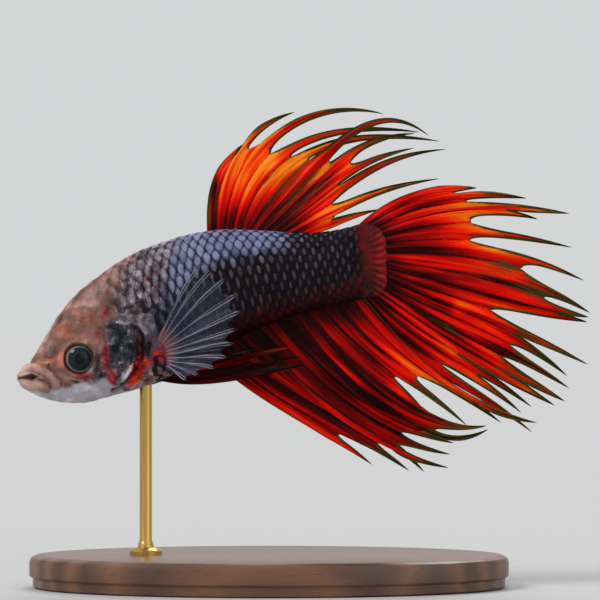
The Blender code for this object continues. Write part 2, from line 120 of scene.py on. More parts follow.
# Markings of the flesh by their ground: x and z of the middle, half lengths, tilt in degrees, strength.
SPOTS = {
    "red": (  # breast, root of the pectoral fin, and flecks on the back
        (-15.9, 26.3, 2.1, 1.05, 54, 1.0), (-13.1, 28.6, 1.25, 1.5, 0, 0.72),
        (-14.7, 27.3, 1.1, 0.55, 10, 0.72), (-11.8, 38.5, 0.45, 0.4, 0, 0.55),
        (-10.9, 37.0, 0.35, 0.5, 0, 0.6), (-14.9, 37.1, 0.5, 0.4, 0, 0.45),
    ),
    "rose": (  # groove in front of the gill cover, under the eye, nape, nostril and behind the gills
        (-19.5, 27.9, 2.4, 0.62, 96, 0.92), (-18.8, 25.5, 1.35, 0.75, -65, 1.0),
        (-22.2, 25.75, 1.7, 0.5, 8, 0.7), (-20.5, 30.6, 0.6, 1.1, 10, 0.5),
        (-19.5, 33.3, 1.25, 0.6, 65, 0.78), (-23.4, 33.4, 1.6, 0.9, -35, 0.45),
        (-26.4, 26.9, 0.5, 0.45, 0, 0.5), (-14.0, 29.9, 0.55, 0.8, 0, 0.62),
    ),
    "slate": (  # gill cover, jaw, and the snout and cheek round the eye
        (-17.7, 29.2, 2.15, 3.7, 0, 1.0), (-20.7, 26.1, 2.1, 1.4, 0, 0.66), (-26.4, 28.6, 1.2, 0.9, 0, 0.42),
        (-23.6, 29.9, 0.9, 0.5, 20, 0.5),
    ),
    "wine": (  # skin flap behind the gill cover, and the cheek
        (-15.5, 29.2, 0.7, 2.7, 0, 1.0), (-20.5, 27.5, 0.75, 1.4, 0, 0.6),
    ),
    "black": (  # gill slit and the recesses of the gill cover, which are painted shade, and dark marks on the jaw, snout and behind the gills
        (-14.45, 29.1, 0.42, 1.2, -8, 1.0), (-16.0, 31.5, 0.36, 0.3, 0, 1.0),
        (-18.4, 28.9, 0.62, 0.75, 0, 1.0), (-17.3, 30.75, 0.45, 0.36, 0, 0.85),
        (-17.7, 26.9, 0.8, 0.36, 25, 0.6), (-18.8, 31.6, 0.45, 0.45, 0, 0.6),
        (-20.1, 25.7, 0.36, 0.5, 0, 0.7), (-23.2, 24.95, 1.1, 0.42, -8, 0.62),
        (-26.4, 27.85, 0.8, 0.16, 0, 0.5), (-12.6, 32.6, 1.1, 1.9, -28, 0.6),
    ),
    "silver": (  # rim of the gill cover
        (-17.3, 31.95, 1.1, 0.26, -12, 0.85), (-17.6, 25.5, 1.9, 0.36, 54, 0.9),
    ),
    "amber": (  # snout, forehead and cheek
        (-24.95, 27.6, 0.42, 1.3, 0, 1.0), (-26.0, 27.5, 1.6, 0.45, 28, 0.66),
        (-27.6, 27.2, 1.1, 0.4, -10, 0.62), (-24.6, 31.4, 2.0, 1.7, -35, 0.62),
        (-21.8, 32.6, 2.0, 1.6, 0, 0.48), (-23.0, 29.7, 1.4, 0.5, 0, 0.5),
    ),
}

# Each fin is a table of these, in side view and in millimetres:
#   root      where its first and its last ray start, as (x, z), and root_y how far to the side that is
#   rays      a row for each, from front to back or from top to bottom: x and z of its tip, its angles in
#             degrees at root and at tip, and how far along it the web to the next ray goes (0 to 1)
#   reach     how far a ray keeps to each of its angles, as shares of the way from root to tip
#   blade     half the width of a free ray, and notch the share of its length in which the web runs out
#   sway      how far to the side the first ray's tip lies, the waves after it, and the last ray's tip
#   leaves    the power by which a ray leaves the middle plane on its way out
#   fork      how far a ray's two branches lie from its middle
#   tone      the red's usual brightness (0 wine, 0.6 red, 1 orange). ray_tone is added on the rays and glow
#             at the free edge, and root_dark is taken off at the root
#   tones     spots where it differs: x and z of the middle, half lengths, tilt in degrees, change. The darker
#              are painted shade where pleats overlap, the brighter are painted glow and highlights of light
#              through the web along with brighter pigment
#   edge      how olive the free edges are (0 to 1)
#   olive     spots where that spreads inwards, in the same way, with their strength
USUAL_FIN = {
    "root_y": (0.0, 0.0), "reach": (0.34, 0.34), "leaves": 1.6, "ray_tone": 0.05, "root_dark": 0.3,
    "notch": 0.1, "edge": 1.0,
}
DORSAL = USUAL_FIN | {
    "root": ((-6.9, 42.7), (2.6, 42.4)), "reach": (0.48, 0.38), "blade": 0.6, "sway": (1.6, 0.9, 1.9),
    "fork": 0.16, "glow": 0.2, "ray_tone": -0.12, "tone": 0.6,
    "rays": (
        (-3.2, 53.7, 93, 46, 0.66), (3.1, 57.6, 87, 18, 0.5), (13.8, 57.4, 84, -14, 0.38),
        (18.2, 55.1, 80, -8, 0.39), (20.6, 54.0, 70, -9, 0.38), (19.3, 54.6, 48, -40, 0.44),
        (17.7, 55.0, 41, 3, 0.6), (17.5, 53.2, 38, 12, 0.42), (21.3, 53.1, 34, 5, 0.3),
        (20.5, 49.5, 27, 8, 0.36), (13.4, 45.8, 17, 12, 0.0),
    ),
    "tones": (
        (-3.6, 48.6, 2.0, 3.6, 0, 0.24), (0.2, 51.2, 1.4, 1.6, 40, 0.26), (3.4, 51.6, 1.1, 1.1, 40, 0.24),
        (6.2, 50.2, 1.3, 0.7, 45, 0.22), (3.6, 47.0, 3.6, 0.7, 47, -0.26), (6.9, 49.4, 2.2, 0.7, 45, -0.28),
        (0.6, 46.6, 2.4, 0.6, 55, -0.14), (-1.6, 49.6, 2.6, 2.6, 60, 0.1), (10.0, 47.0, 4.0, 0.8, 20, 0.16),
        (-6.6, 48.0, 0.5, 4.0, 0, -0.3),
    ),
    "olive": (
        (-7.3, 48.0, 0.75, 5.0, 0, 0.95), (19.0, 53.4, 3.0, 1.2, 0, 0.55), (3.0, 49.0, 6.0, 3.4, 40, 0.62),
    ),
}
CAUDAL = USUAL_FIN | {
    "root": ((11.2, 43.4), (11.6, 35.2)), "reach": (0.36, 0.36), "blade": 0.6, "sway": (-0.4, 0.7, 2.1),
    "fork": 0.24, "glow": 0.18, "root_dark": 0.36, "notch": 0.12, "tone": 0.46,
    "rays": (
        (25.1, 48.3, 45, 0, 0.72), (31.1, 47.0, 38, -8, 0.6), (36.1, 45.2, 28, -9, 0.78),
        (32.4, 44.5, 24, -15, 0.58), (36.4, 41.1, 17, -13, 0.5), (37.9, 37.1, 5, -27, 0.7),
        (38.6, 33.2, -5, -33, 0.8), (38.5, 32.7, -12, -14, 0.88), (38.3, 32.1, -18, -9, 0.58),
        (38.4, 27.0, -22, -28, 0.74), (35.8, 25.6, -28, -42, 0.72), (36.1, 24.1, -32, -34, 0.7),
        (35.5, 22.5, -35, -32, 0.85), (34.3, 22.0, -38, -28, 0.55), (31.5, 21.8, -46, -40, 0.72),
        (30.3, 21.1, -53, -42, 0.52), (31.6, 18.7, -60, -41, 0.0),
    ),
    "tones": (
        (24.0, 44.7, 4.0, 1.3, 0, 0.26), (24.5, 46.3, 3.0, 0.5, 0, 0.16), (27.0, 42.9, 3.5, 0.7, -6, 0.26),
        (31.5, 45.6, 3.0, 0.6, 0, 0.18), (27.5, 40.7, 3.0, 0.6, -4, 0.16), (25.0, 32.4, 3.4, 1.2, -30, 0.3),
        (22.8, 33.6, 1.0, 0.8, -30, 0.28), (22.0, 28.6, 2.0, 0.5, -38, 0.22),
        (19.0, 35.3, 3.5, 0.8, -22, 0.12), (18.0, 31.0, 4.0, 1.0, -36, 0.08),
        (18.5, 41.2, 5.0, 0.6, 0, -0.34), (18.0, 37.9, 5.0, 0.4, -6, -0.26),
        (19.0, 36.4, 5.0, 0.6, -12, -0.34), (20.5, 31.9, 6.0, 0.6, -34, -0.36),
        (30.0, 27.2, 4.8, 0.9, -36, -0.46), (17.0, 29.6, 3.5, 0.4, -34, -0.3),
        (31.0, 36.2, 4.0, 0.5, -14, -0.16), (27.5, 24.5, 3.0, 0.4, -42, -0.12),
        (34.5, 35.2, 5.0, 1.6, -25, -0.26), (33.5, 27.6, 5.0, 2.2, -38, -0.22),
        (19.5, 39.4, 5.5, 1.0, -2, -0.1),
    ),
    "olive": (
        (28.0, 38.5, 3.6, 1.2, -4, 0.95), (33.5, 36.2, 5.6, 2.0, -22, 0.95), (36.6, 33.8, 3.6, 2.0, -30, 1.0),
        (31.5, 30.0, 5.0, 1.4, -36, 0.9), (34.6, 26.8, 4.6, 2.0, -40, 1.0), (30.5, 25.3, 4.8, 1.4, -40, 0.95),
        (22.0, 31.0, 4.0, 0.5, -36, 0.6),
    ),
}
ANAL = USUAL_FIN | {
    "root": ((-7.9, 29.3), (10.3, 35.9)), "blade": 0.5, "sway": (-1.5, 0.5, -2.9), "fork": 0.2, "glow": 0.1,
    "root_dark": 0.28, "tone": 0.29,
    "rays": (
        (12.5, 14.9, -48, -38, 0.74), (17.0, 14.2, -48, -36, 0.8), (18.8, 14.0, -49, -48, 0.76),
        (21.8, 14.6, -50, -10, 0.78), (22.0, 16.2, -51, -10, 0.77), (22.5, 17.6, -52, -12, 0.8),
        (26.6, 19.3, -53, 30, 0.76), (26.4, 19.7, -54, 12, 0.82), (19.6, 20.4, -55, -50, 0.62),
        (24.0, 19.7, -56, -42, 0.6), (28.1, 20.0, -57, -37, 0.76), (32.5, 20.1, -54, -8, 0.0),
    ),
    "tones": (
        (16.0, 27.4, 4.6, 1.4, -45, 0.42), (21.5, 23.8, 4.6, 0.9, -36, 0.48),
        (25.5, 21.6, 3.4, 0.8, -30, 0.4), (2.0, 21.8, 4.4, 0.8, -27, 0.26), (11.0, 31.4, 3.2, 1.3, -48, 0.2),
        (4.0, 25.2, 2.4, 0.6, -40, 0.16), (7.5, 21.6, 3.0, 0.4, -38, 0.2), (10.0, 25.5, 3.0, 0.5, -45, 0.14),
        (15.0, 20.7, 2.6, 0.28, -27, 0.4), (16.0, 23.6, 2.0, 0.5, -40, 0.2), (22.0, 18.0, 5.0, 1.0, 0, -0.22),
        (17.5, 21.8, 1.8, 0.5, -35, -0.2), (12.0, 28.0, 3.0, 0.4, -47, -0.16),
        (13.5, 22.3, 3.6, 0.8, -40, -0.24), (8.5, 24.4, 3.6, 0.5, -42, -0.2),
    ),
    "olive": (
        (19.5, 23.0, 5.0, 1.6, -38, 0.85), (22.5, 18.2, 5.4, 3.2, -20, 0.85),
        (27.0, 22.0, 4.4, 1.4, -30, 0.85),
    ),
}
PELVIC = USUAL_FIN | {
    "root": ((-13.3, 25.4), (-10.9, 26.7)), "root_y": (0.95, 0.95), "blade": 0.35, "sway": (1.2, 0.0, 1.6),
    "fork": 0.1, "glow": 0.02, "notch": 0.12, "edge": 0.35, "tone": 0.1, "olive": (),
    "rays": (
        (4.1, 26.9, -14, 8, 0.8), (3.9, 28.0, -8, 8, 0.6), (3.1, 29.1, -2, 6, 0.6), (-1.4, 28.9, 5, 5, 0.0),
    ),
    "tones": (
        (-8.0, 25.2, 3.0, 0.5, -8, 0.08), (2.0, 28.4, 1.4, 0.3, 5, 0.18),
    ),
}
PECTORAL = USUAL_FIN | {
    "root": ((-13.4, 29.8), (-12.5, 27.0)), "root_y": (3.6, 2.5), "blade": 0.26, "sway": (3.6, 0.0, 3.9),
    "leaves": 0.8, "fork": 0.16, "glow": 0.0, "ray_tone": 0.0, "root_dark": 0.0, "notch": 0.08, "edge": 0.0,
    "tone": 0.0, "tones": (), "olive": (),
    "rays": (
        (-7.9, 39.2, 66, 48, 0.86), (-6.5, 38.6, 59, 40, 0.86), (-4.9, 37.5, 50, 37, 0.86),
        (-3.4, 35.7, 40, 31, 0.86), (-3.0, 33.6, 29, 25, 0.86), (-3.6, 31.4, 18, 16, 0.86),
        (-4.0, 29.6, 7, 2, 0.86), (-4.8, 27.9, -3, -8, 0.86), (-6.3, 26.6, -13, -18, 0.86),
        (-8.4, 25.8, -22, -27, 0.86), (-9.9, 25.2, -33, -36, 0.0),
    ),
}
PLEAT = 0.42  # neighbouring rays lean to opposite sides by this much at their tips

# The plinth's moulded edge, as shares of its radius and height, up the outside and in over the top.
PLINTH_EDGE = (
    (0.0, 0.0), (0.97, 0.0), (0.985, 0.06), (0.985, 0.30), (1.0, 0.38), (1.0, 0.80), (0.992, 0.92),
    (0.97, 0.99), (0.93, 1.0), (0.6, 1.0), (0.0, 1.0),
)
# The rod's foot, as shares of the rod's radius and millimetres above where it starts.
ROD_FOOT = ((0.0, 0.0), (2.6, 0.0), (2.6, 0.5), (2.3, 0.75), (1.35, 0.95), (1.15, 1.6), (1.0, 1.8))
ROD_SUNK = 0.05  # how far the foot goes into the plinth

# The eyeballs: radius as a share of the iris's, and how far the cornea stands out.
EYE_WIDER, EYE_DEEP = 1.12, 1.18

# How fine the meshes are: rings and points round for the skin, eyeballs, plinth and rod.
SKIN_RINGS, SKIN_SIDES = 316, 276
EYE_RINGS, EYE_SIDES = 40, 72
PLINTH_SIDES, ROD_SIDES = 160, 48
SCALE_POINTS = 9  # along a scale, and across it
SCALE_PATCH = 0.003  # side of a scale's patch in the unwrap
WELD = 0.001  # points closer than this are joined, and on the fins' edges points closer than FIN_WELD
FIN_WELD = 0.004

# Lamps: name, direction from +X and height above the floor in degrees, power, softness in degrees.
LAMPS = (
    ("key_light", 212, 48, 1.9, 24),
    ("fill_light", 318, 22, 0.4, 50),
    ("back_light", 75, 55, 1.5, 30),
)
VIEW_MIDDLE = (3.74, -0.5, 34.77)  # where the camera looks
FLOOR_REACH = 3000.0
SHARP_EDGE = 35  # degrees: turned edges that are steeper stay crisp


# ---- settings


def hex_colour(code):
    """An sRGB hex colour as linear red, green, blue and alpha."""
    parts = [int(code[i : i + 2], 16) / 255 for i in (0, 2, 4)]
    linear = [p / 12.92 if p <= 0.04045 else ((p + 0.055) / 1.055) ** 2.4 for p in parts]
    return (*linear, 1.0)


def colour_property(name, description, code):
    """A colour that a user may change, from its sRGB hex code."""
    settings = {"default": hex_colour(code), "size": 4, "min": 0, "max": 1, "subtype": "COLOR"}
    return FloatVectorProperty(name=name, description=description, **settings)


def length_property(name, description, size):
    """A length that a user may change, from its size in millimetres."""
    return FloatProperty(name=name, description=description, default=size * MM, unit="LENGTH")


class BettaBodySettings(bpy.types.PropertyGroup):
    """Sizes and colours of the skin, scales and eyes."""

    skin_depth: length_property("Skin depth", "How far the skin lies under the solids", 0.16)
    scale_pitch: length_property("Scale pitch", "Length of each scale that shows", 1.15)
    scale_rows: IntProperty(name="Scale rows", description="Rows of scales on each side", default=15, min=6)
    iris_radius: length_property("Iris radius", "Radius of the dark of the eye", 1.56)
    back: colour_property("Back", "Lavender grey of the back", "555B7A")
    pearl: colour_property("Pearl", "Pale middle of each scale of the back", "8288A8")
    tick: colour_property("Ticks", "Pinkish grey middle of each scale of the flank", "80707C")
    # Scale rim: its dark is partly pigment, partly painted shade at the covered root of each scale.
    rim: colour_property("Scale rim", "Dark outline of each scale", "100C16")
    # Painted shade laid into the open mouth, gill gaps, nostrils, grooves and eye sockets.
    hollow_shade: colour_property("Hollows", "Dark inside of mouth, gill slits and nostrils", "20140A")


class BettaFinSettings(bpy.types.PropertyGroup):
    """Sizes and colours of the fins."""

    ray_thickness: length_property("Ray thickness", "Thickness of a fin along its rays", 0.30)
    web_thickness: length_property("Web thickness", "Thickness of a fin between its rays", 0.09)
    edge: colour_property("Edge", "Olive brown along the free edges", "46441A")
    clear_ray: colour_property("Clear rays", "Silver grey rays of the pectoral fins", "848294")
    clear_web: colour_property("Clear web", "Smoky blue web of the pectoral fins", "3C4458")


class BettaStageSettings(bpy.types.PropertyGroup):
    """The camera, its distance and the floor."""

    view_width: length_property("View width", "Width that the camera sees at the fish", 72.5)
    distance: length_property("Camera distance", "From the camera to the fish", 450)
    backdrop: colour_property("Backdrop", "Pale surroundings", "D4D5D6")
    floor: colour_property("Floor", "Paper of the floor, as pale as the backdrop in these lights", "AEAEAE")


# ---- shared shapes


def swing(x, start, full, move):
    """Sideways place and slope at x of a curve that starts straight at start and reaches move at full."""
    share = np.clip((x - start) / (full - start), 0.0, None)
    return move * share**2, 2 * move * share / (full - start)


def bend(points):
    """Points of the straight fish, carried round the curve of its back."""
    p = np.array(points, float)
    head_y, head_slope = swing(p[..., 0], *HEAD_SWING)
    tail_y, tail_slope = swing(p[..., 0], *TAIL_SWING)
    turn = np.arctan(head_slope + tail_slope)
    y = p[..., 1].copy()
    p[..., 0] -= y * np.sin(turn)
    p[..., 1] = head_y + tail_y + y * np.cos(turn)
    return p


def smooth(low, high, value):
    """0 below low, 1 above high, and a smooth step between them."""
    t = np.clip((value - low) / (high - low), 0, 1)
    return t * t * (3 - 2 * t)


def bell(distance, width):
    """1 at no distance, falling off smoothly on either side within about twice the width."""
    return np.exp(-((distance / width) ** 2))


def on_curve(knots, u):
    """Points at u on a smooth curve through the knots, which lie at u = 0, 1, 2 and so on."""
    knots, last = np.array(knots), len(knots) - 1
    i = np.minimum(u.astype(int), last - 1)
    t = (u - i)[..., None]
    p0, p1 = knots[np.maximum(i - 1, 0)], knots[i]
    p2, p3 = knots[i + 1], knots[np.minimum(i + 2, last)]
    return p1 + 0.5 * t * (p2 - p0 + t * (2 * p0 - 5 * p1 + 4 * p2 - p3 + t * (3 * (p1 - p2) + p3 - p0)))


def body_points(u, angle, grow=0.0):
    """Points of the body at station u and at an angle round it: 0 at the back, positive towards +Y."""
    s = on_curve(STATIONS, np.clip(u, 0, LAST_STATION))
    back, belly = s[..., 0:2], s[..., 2:4]
    tall = (back - belly) / np.linalg.norm(back - belly, axis=-1, keepdims=True)
    back, belly = back + grow * tall, belly - grow * tall
    width, level = np.maximum(s[..., 4] + grow, 0.05), s[..., 5:6]
    middle = belly + level * (back - belly)
    up = np.cos(angle)[..., None]
    height = np.where(up > 0, back - middle, belly - middle) * np.abs(up)
    x, z = np.moveaxis(middle + height, -1, 0)
    return np.stack([x, width * np.sin(angle), z], axis=-1)


def route_distance(x, z, route, samples=24):
    """Distance from (x, z) to a smooth route, and which side of it the point lies on: 1 or -1."""
    last = len(route) - 1
    line = on_curve(route, np.linspace(0, last, samples * last + 1))
    best, side = np.full(x.shape, 1e9), np.zeros(x.shape)
    for a, b in zip(line, line[1:]):
        run = b - a
        along = np.clip(((x - a[0]) * run[0] + (z - a[1]) * run[1]) / (run @ run), 0, 1)
        dx, dz = x - a[0] - along * run[0], z - a[1] - along * run[1]
        distance = np.hypot(dx, dz)
        nearer = distance < best
        best = np.where(nearer, distance, best)
        side = np.where(nearer, np.sign(run[0] * dz - run[1] * dx), side)
    return best, side


def in_mm(box):
    """The low and the high corner of a box, in millimetres."""
    return [np.array(corner) / MM for corner in box]


def eye_centre(side):
    """Middle of the CAD eye on that side, in millimetres."""
    low, high = in_mm(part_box(f"eye_{side}"))
    return (low + high) / 2


# ---- mesh tools


def linked(name, data):
    """A new object in the scene, with that mesh, light or camera."""
    made = bpy.data.objects.new(name, data)
    bpy.context.scene.collection.objects.link(made)
    return made


def add_mesh(name, points, faces, material, attributes=None, uv=None):
    """A smooth mesh object from points in millimetres, with named numbers on its points."""
    mesh = bpy.data.meshes.new(name)
    points = np.asarray(points, dtype=np.float32) * MM
    faces = np.asarray(faces, dtype=np.int32)
    mesh.vertices.add(len(points))
    mesh.vertices.foreach_set("co", points.ravel())
    mesh.loops.add(faces.size)
    mesh.loops.foreach_set("vertex_index", faces.ravel())
    mesh.polygons.add(len(faces))
    mesh.polygons.foreach_set("loop_start", np.arange(0, faces.size, faces.shape[1], dtype=np.int32))
    mesh.polygons.foreach_set("use_smooth", np.ones(len(faces), dtype=bool))
    mesh.update(calc_edges=True)
    for key, values in (attributes or {}).items():
        layer = mesh.attributes.new(key, "FLOAT", "POINT")
        layer.data.foreach_set("value", np.asarray(values, dtype=np.float32).ravel())
    if uv is not None:
        layer = mesh.uv_layers.new(name="OFBake")
        layer.data.foreach_set("uv", np.asarray(uv, dtype=np.float32)[faces.ravel()].ravel())
    mesh.materials.append(material)
    return linked(name, mesh)


def grid_faces(rows, columns, closed=False, start=0):
    """Quads of a grid of points laid out row by row. A closed grid joins its last column to its first."""
    r, c = np.meshgrid(np.arange(rows - 1), np.arange(columns if closed else columns - 1), indexing="ij")
    d = (c + 1) % columns
    r, below = r * columns, (r + 1) * columns
    return np.stack([r + c, r + d, below + d, below + c], axis=-1).reshape(-1, 4) + start


def mend(obj, weld=0.0, fill=False):
    """Joins points closer than weld in millimetres, fills holes if asked, and turns all faces outward."""
    shape = bmesh.new()
    shape.from_mesh(obj.data)
    if weld:
        bmesh.ops.remove_doubles(shape, verts=shape.verts, dist=weld * MM)
    if fill:
        bmesh.ops.holes_fill(shape, edges=[edge for edge in shape.edges if edge.is_boundary], sides=0)
    bmesh.ops.recalc_face_normals(shape, faces=shape.faces)
    shape.to_mesh(obj.data)
    shape.free()


def dress(obj, slot, *nodes):
    """Makes a piece ride on the model and stand for its CAD nodes."""
    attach(obj, "root")
    if nodes:
        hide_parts(*nodes)


# ---- materials


# Unless a setting says otherwise, a Mix node mixes colours, and a Math or VectorMath node multiplies.
USUAL_SETTINGS = {
    "Mix": {"data_type": "RGBA"}, "Math": {"operation": "MULTIPLY"}, "VectorMath": {"operation": "MULTIPLY"},
}


def add_node(tree, kind, *inputs, out=0, stops=None, **settings):
    """Adds a shader node with its settings, its inputs and a ramp's stops, and gives one of its outputs.

    Inputs are values or links, for the sockets in order, or one dictionary of them by number or name.
    """
    made = tree.nodes.new("ShaderNode" + kind)
    for key, value in (USUAL_SETTINGS.get(kind, {}) | settings).items():
        setattr(made, key, value)
    if stops:
        elements = made.color_ramp.elements
        while len(elements) < len(stops):
            elements.new(1.0)
        for element, (place, code) in zip(elements, stops):
            element.position = place
            element.color = hex_colour(code) if isinstance(code, str) else (code, code, code, 1.0)
    open_inputs = [socket for socket in made.inputs if socket.enabled]
    inputs = inputs[0] if inputs and isinstance(inputs[0], dict) else dict(enumerate(inputs))
    for key, value in inputs.items():
        socket = open_inputs[key] if isinstance(key, int) else next(s for s in open_inputs if s.name == key)
        if isinstance(value, bpy.types.NodeSocket):
            tree.links.new(value, socket)
        else:
            socket.default_value = value
    open_outputs = [socket for socket in made.outputs if socket.enabled]
    return open_outputs[out] if open_outputs else made


def new_material(name):
    """An empty material, and add_node() for its nodes."""
    made = bpy.data.materials.new(name)
    made.use_nodes = True
    made.node_tree.nodes.clear()
    return made, partial(add_node, made.node_tree)


def named(node, key):
    """The number of that name on the mesh's points."""
    return node("Attribute", attribute_name=key, out=2)


def markings(node, body):
    """Colour of the fish's skin: its grounds and spots, with the painted highlight and shade that some
    grounds carry, broken up by fine speckle, for skin and scales.
    """
    place = node("TexCoord", out=3)
    # Blotches of pigment are about 2 mm across.
    blotches = node("TexNoise", {"Vector": place, "Scale": 460.0, "Detail": 2.0})
    # Pigment cells gather in clots of about 0.9 mm, and in grains of about 0.2 mm.
    clots = node("TexNoise", {"Vector": place, "Scale": 1150.0, "Detail": 4.0, "Roughness": 0.56})
    grains = node("TexNoise", {"Vector": place, "Scale": 5200.0, "Detail": 3.0})
    speckle = node("Math", clots, grains, operation="ADD")
    wander = node("MapRange", speckle, 0.7, 1.3, -0.25, 0.25)
    clots = node("Math", blotches, 0.55, clots, operation="MULTIPLY_ADD")
    clots = node("Math", clots, 0.275, operation="SUBTRACT")
    # The face is blotched more softly than the flank.
    soft = node("Math", blotches, 0.70, 0.04, operation="MULTIPLY_ADD")
    soft = node("Math", clots, 0.22, soft, operation="MULTIPLY_ADD")
    shade = node("MapRange", clots, 0.3, 0.7, 0.55, 1.35)
    tone = node("VectorMath", {0: tuple(body.back)[:3], "Scale": shade}, operation="SCALE")
    grounds = (
        ("flank", ((0.36, "040203"), (0.56, "0C0507"), (0.70, "1C0C10"))),
        ("nape", ((0.34, "2E2428"), (0.46, "58484E"), (0.58, "7C6E76"), (0.72, "A89CA6"))),
        ("face", ((0.30, "3A2824"), (0.40, "5A3E36"), (0.48, "724E44"), (0.56, "8C6258"), (0.68, "AA8A80"))),
        ("pale", ((0.30, "86828C"), (0.44, "A8A4AE"), (0.56, "BEBAC4"), (0.68, "E0DEE4"))),
        ("breast", ((0.34, "4A3838"), (0.50, "7C6464"), (0.62, "9A8484"), (0.74, "C8B8B8"))),
        ("slate", ((0.34, "0A0A0E"), (0.46, "202228"), (0.57, "3C3F46"), (0.72, "8A8E96"))),
        ("lip", ((0.34, "86645C"), (0.48, "A27E74"), (0.66, "C8A8A0"))),
        ("amber", ((0.32, "7A4630"), (0.50, "AC6446"), (0.66, "C88A6C"))),
        ("wine", ((0.34, "160001"), (0.52, "260102"), (0.70, "440203"))),
        ("root", ((0.30, "260001"), (0.50, "420103"), (0.70, "5E0205"))),
        ("stem", ((0.30, "5A0102"), (0.50, "800303"), (0.70, "A40604"))),
        ("rose", ((0.34, "4E0A18"), (0.50, "861826"), (0.68, "B03A42"))),
        ("red", ((0.34, "780806"), (0.48, "B81206"), (0.68, "DA3A12"))),
        ("silver", ((0.36, "78787E"), (0.52, "A8ACB2"), (0.68, "D8DADE"))),
        ("black", ((0.36, "040203"), (0.56, "0A0608"), (0.70, "1C1418"))),
    )
    for key, stops in grounds:
        fray = 0.55 if key in ("nape", "face", "pale", "amber", "lip", "wine", "root", "stem") else 1.0
        ragged = node("Math", wander, fray, named(node, key), operation="MULTIPLY_ADD")
        share = node("MapRange", ragged, 0.26, 0.74, interpolation_type="SMOOTHSTEP")
        pattern = soft if key in ("face", "pale", "amber", "lip", "root", "stem") else clots
        ground = node("ValToRGB", pattern, stops=stops)
        tone = node("Mix", share, tone, ground)
    # Guanine crystals in the head's skin glint as pale specks of about 0.1 mm.
    specks = node("TexNoise", {"Vector": place, "Scale": 7600.0, "Detail": 1.0})
    specks = node("MapRange", {0: specks, 1: 0.66, 2: 0.78, 4: 0.34})
    specks = node("Math", specks, named(node, "specked"))
    return node("Mix", specks, tone, hex_colour("D6D0D2")), clots, grains


def make_skin_material(body):
    """Live fish skin under its mucus: soft, wet, with a low sheen broken by fine pores."""
    made, node = new_material("betta_skin_mucous")
    tone, clots, grains = markings(node, body)
    # Painted shade darkens the open mouth, gill gaps, nostrils, grooves and eye sockets towards this colour.
    tone = node("Mix", named(node, "hollow_shade"), tone, tuple(body.hollow_shade))
    rough = node("MapRange", {0: grains, 3: 0.28, 4: 0.46})
    pores = node("Bump", {"Height": grains, "Strength": 0.35, "Distance": 0.00004})
    bumps = node("Bump", {"Height": clots, "Strength": 0.45, "Distance": 0.00009, "Normal": pores})
    surface = {"Base Color": tone, "Roughness": rough, "IOR": 1.36, "Specular IOR Level": 0.22}
    surface |= {"Normal": bumps, "Coat Weight": 0.06, "Coat Roughness": 0.15}
    node("OutputMaterial", {"Surface": node("BsdfPrincipled", surface)})
    return made


def make_scale_material(body):
    """Thin bony scales under skin: a pale, faintly pearly middle, and a dark rim that is partly pigment and
    partly painted shade, widest at the root where the scale before covers it.
    """
    made, node = new_material("betta_scale_bone")
    tone, clots, grains = markings(node, body)
    across, luck = named(node, "scale_across"), named(node, "scale_luck")
    # The pearly mark is round on the back, and only an upright oval or tick on the flank.
    middle = node("Math", named(node, "scale_along"), 0.66, operation="SUBTRACT")
    slim = node("Math", middle, named(node, "slim"), operation="DIVIDE")
    tall = node("Math", across, 1.75)
    back = node("Math", middle, 2.9)
    slim, tall, back, wide = (node("Math", part, part) for part in (slim, tall, back, across))
    ragged = node("MapRange", clots, 0.3, 0.7, 0.35, -0.35)
    far = node("Math", slim, tall, operation="ADD")
    far = node("Math", far, ragged, operation="ADD")
    pearl = node("MapRange", far, 1.15, 0.25, interpolation_type="SMOOTHSTEP")
    lucky = node("MapRange", {0: luck, 3: 0.35, 4: 1.2})
    lucky = node("Math", lucky, named(node, "shine"))
    streaky = node("MapRange", grains, 0.35, 0.65, 0.72, 1.15)
    lucky = node("Math", lucky, streaky)
    pearl = node("Math", pearl, lucky, use_clamp=True)
    # The dark rim, widest at the root: pigment in the scale's pocket, and painted shade where the scale
    # before overlaps the root.
    edge = node("Math", wide, back, operation="ADD")
    rim = node("MapRange", edge, 0.30, 0.74, interpolation_type="SMOOTHSTEP")
    rim = node("Math", rim, named(node, "rimmed"))
    tone = node("Mix", rim, tone, tuple(body.rim))
    mark = node("Mix", named(node, "scale_top"), tuple(body.tick), tuple(body.pearl))
    tone = node("Mix", pearl, tone, mark)
    rough = node("MapRange", {0: clots, 3: 0.3, 4: 0.5})
    # Growth rings on a scale lie about 0.05 mm apart: drawn at 0.12 mm so that they show.
    rings = node("Math", edge, 24.0)
    rings = node("Math", rings, operation="SINE")
    bump = node("Bump", {"Height": rings, "Strength": 0.2, "Distance": 0.00002})
    bump = node("Bump", {"Height": grains, "Strength": 0.25, "Distance": 0.00004, "Normal": bump})
    surface = {"Base Color": tone, "Roughness": rough, "IOR": 1.4, "Specular IOR Level": 0.12, "Normal": bump}
    node("OutputMaterial", {"Surface": node("BsdfPrincipled", surface)})
    return made


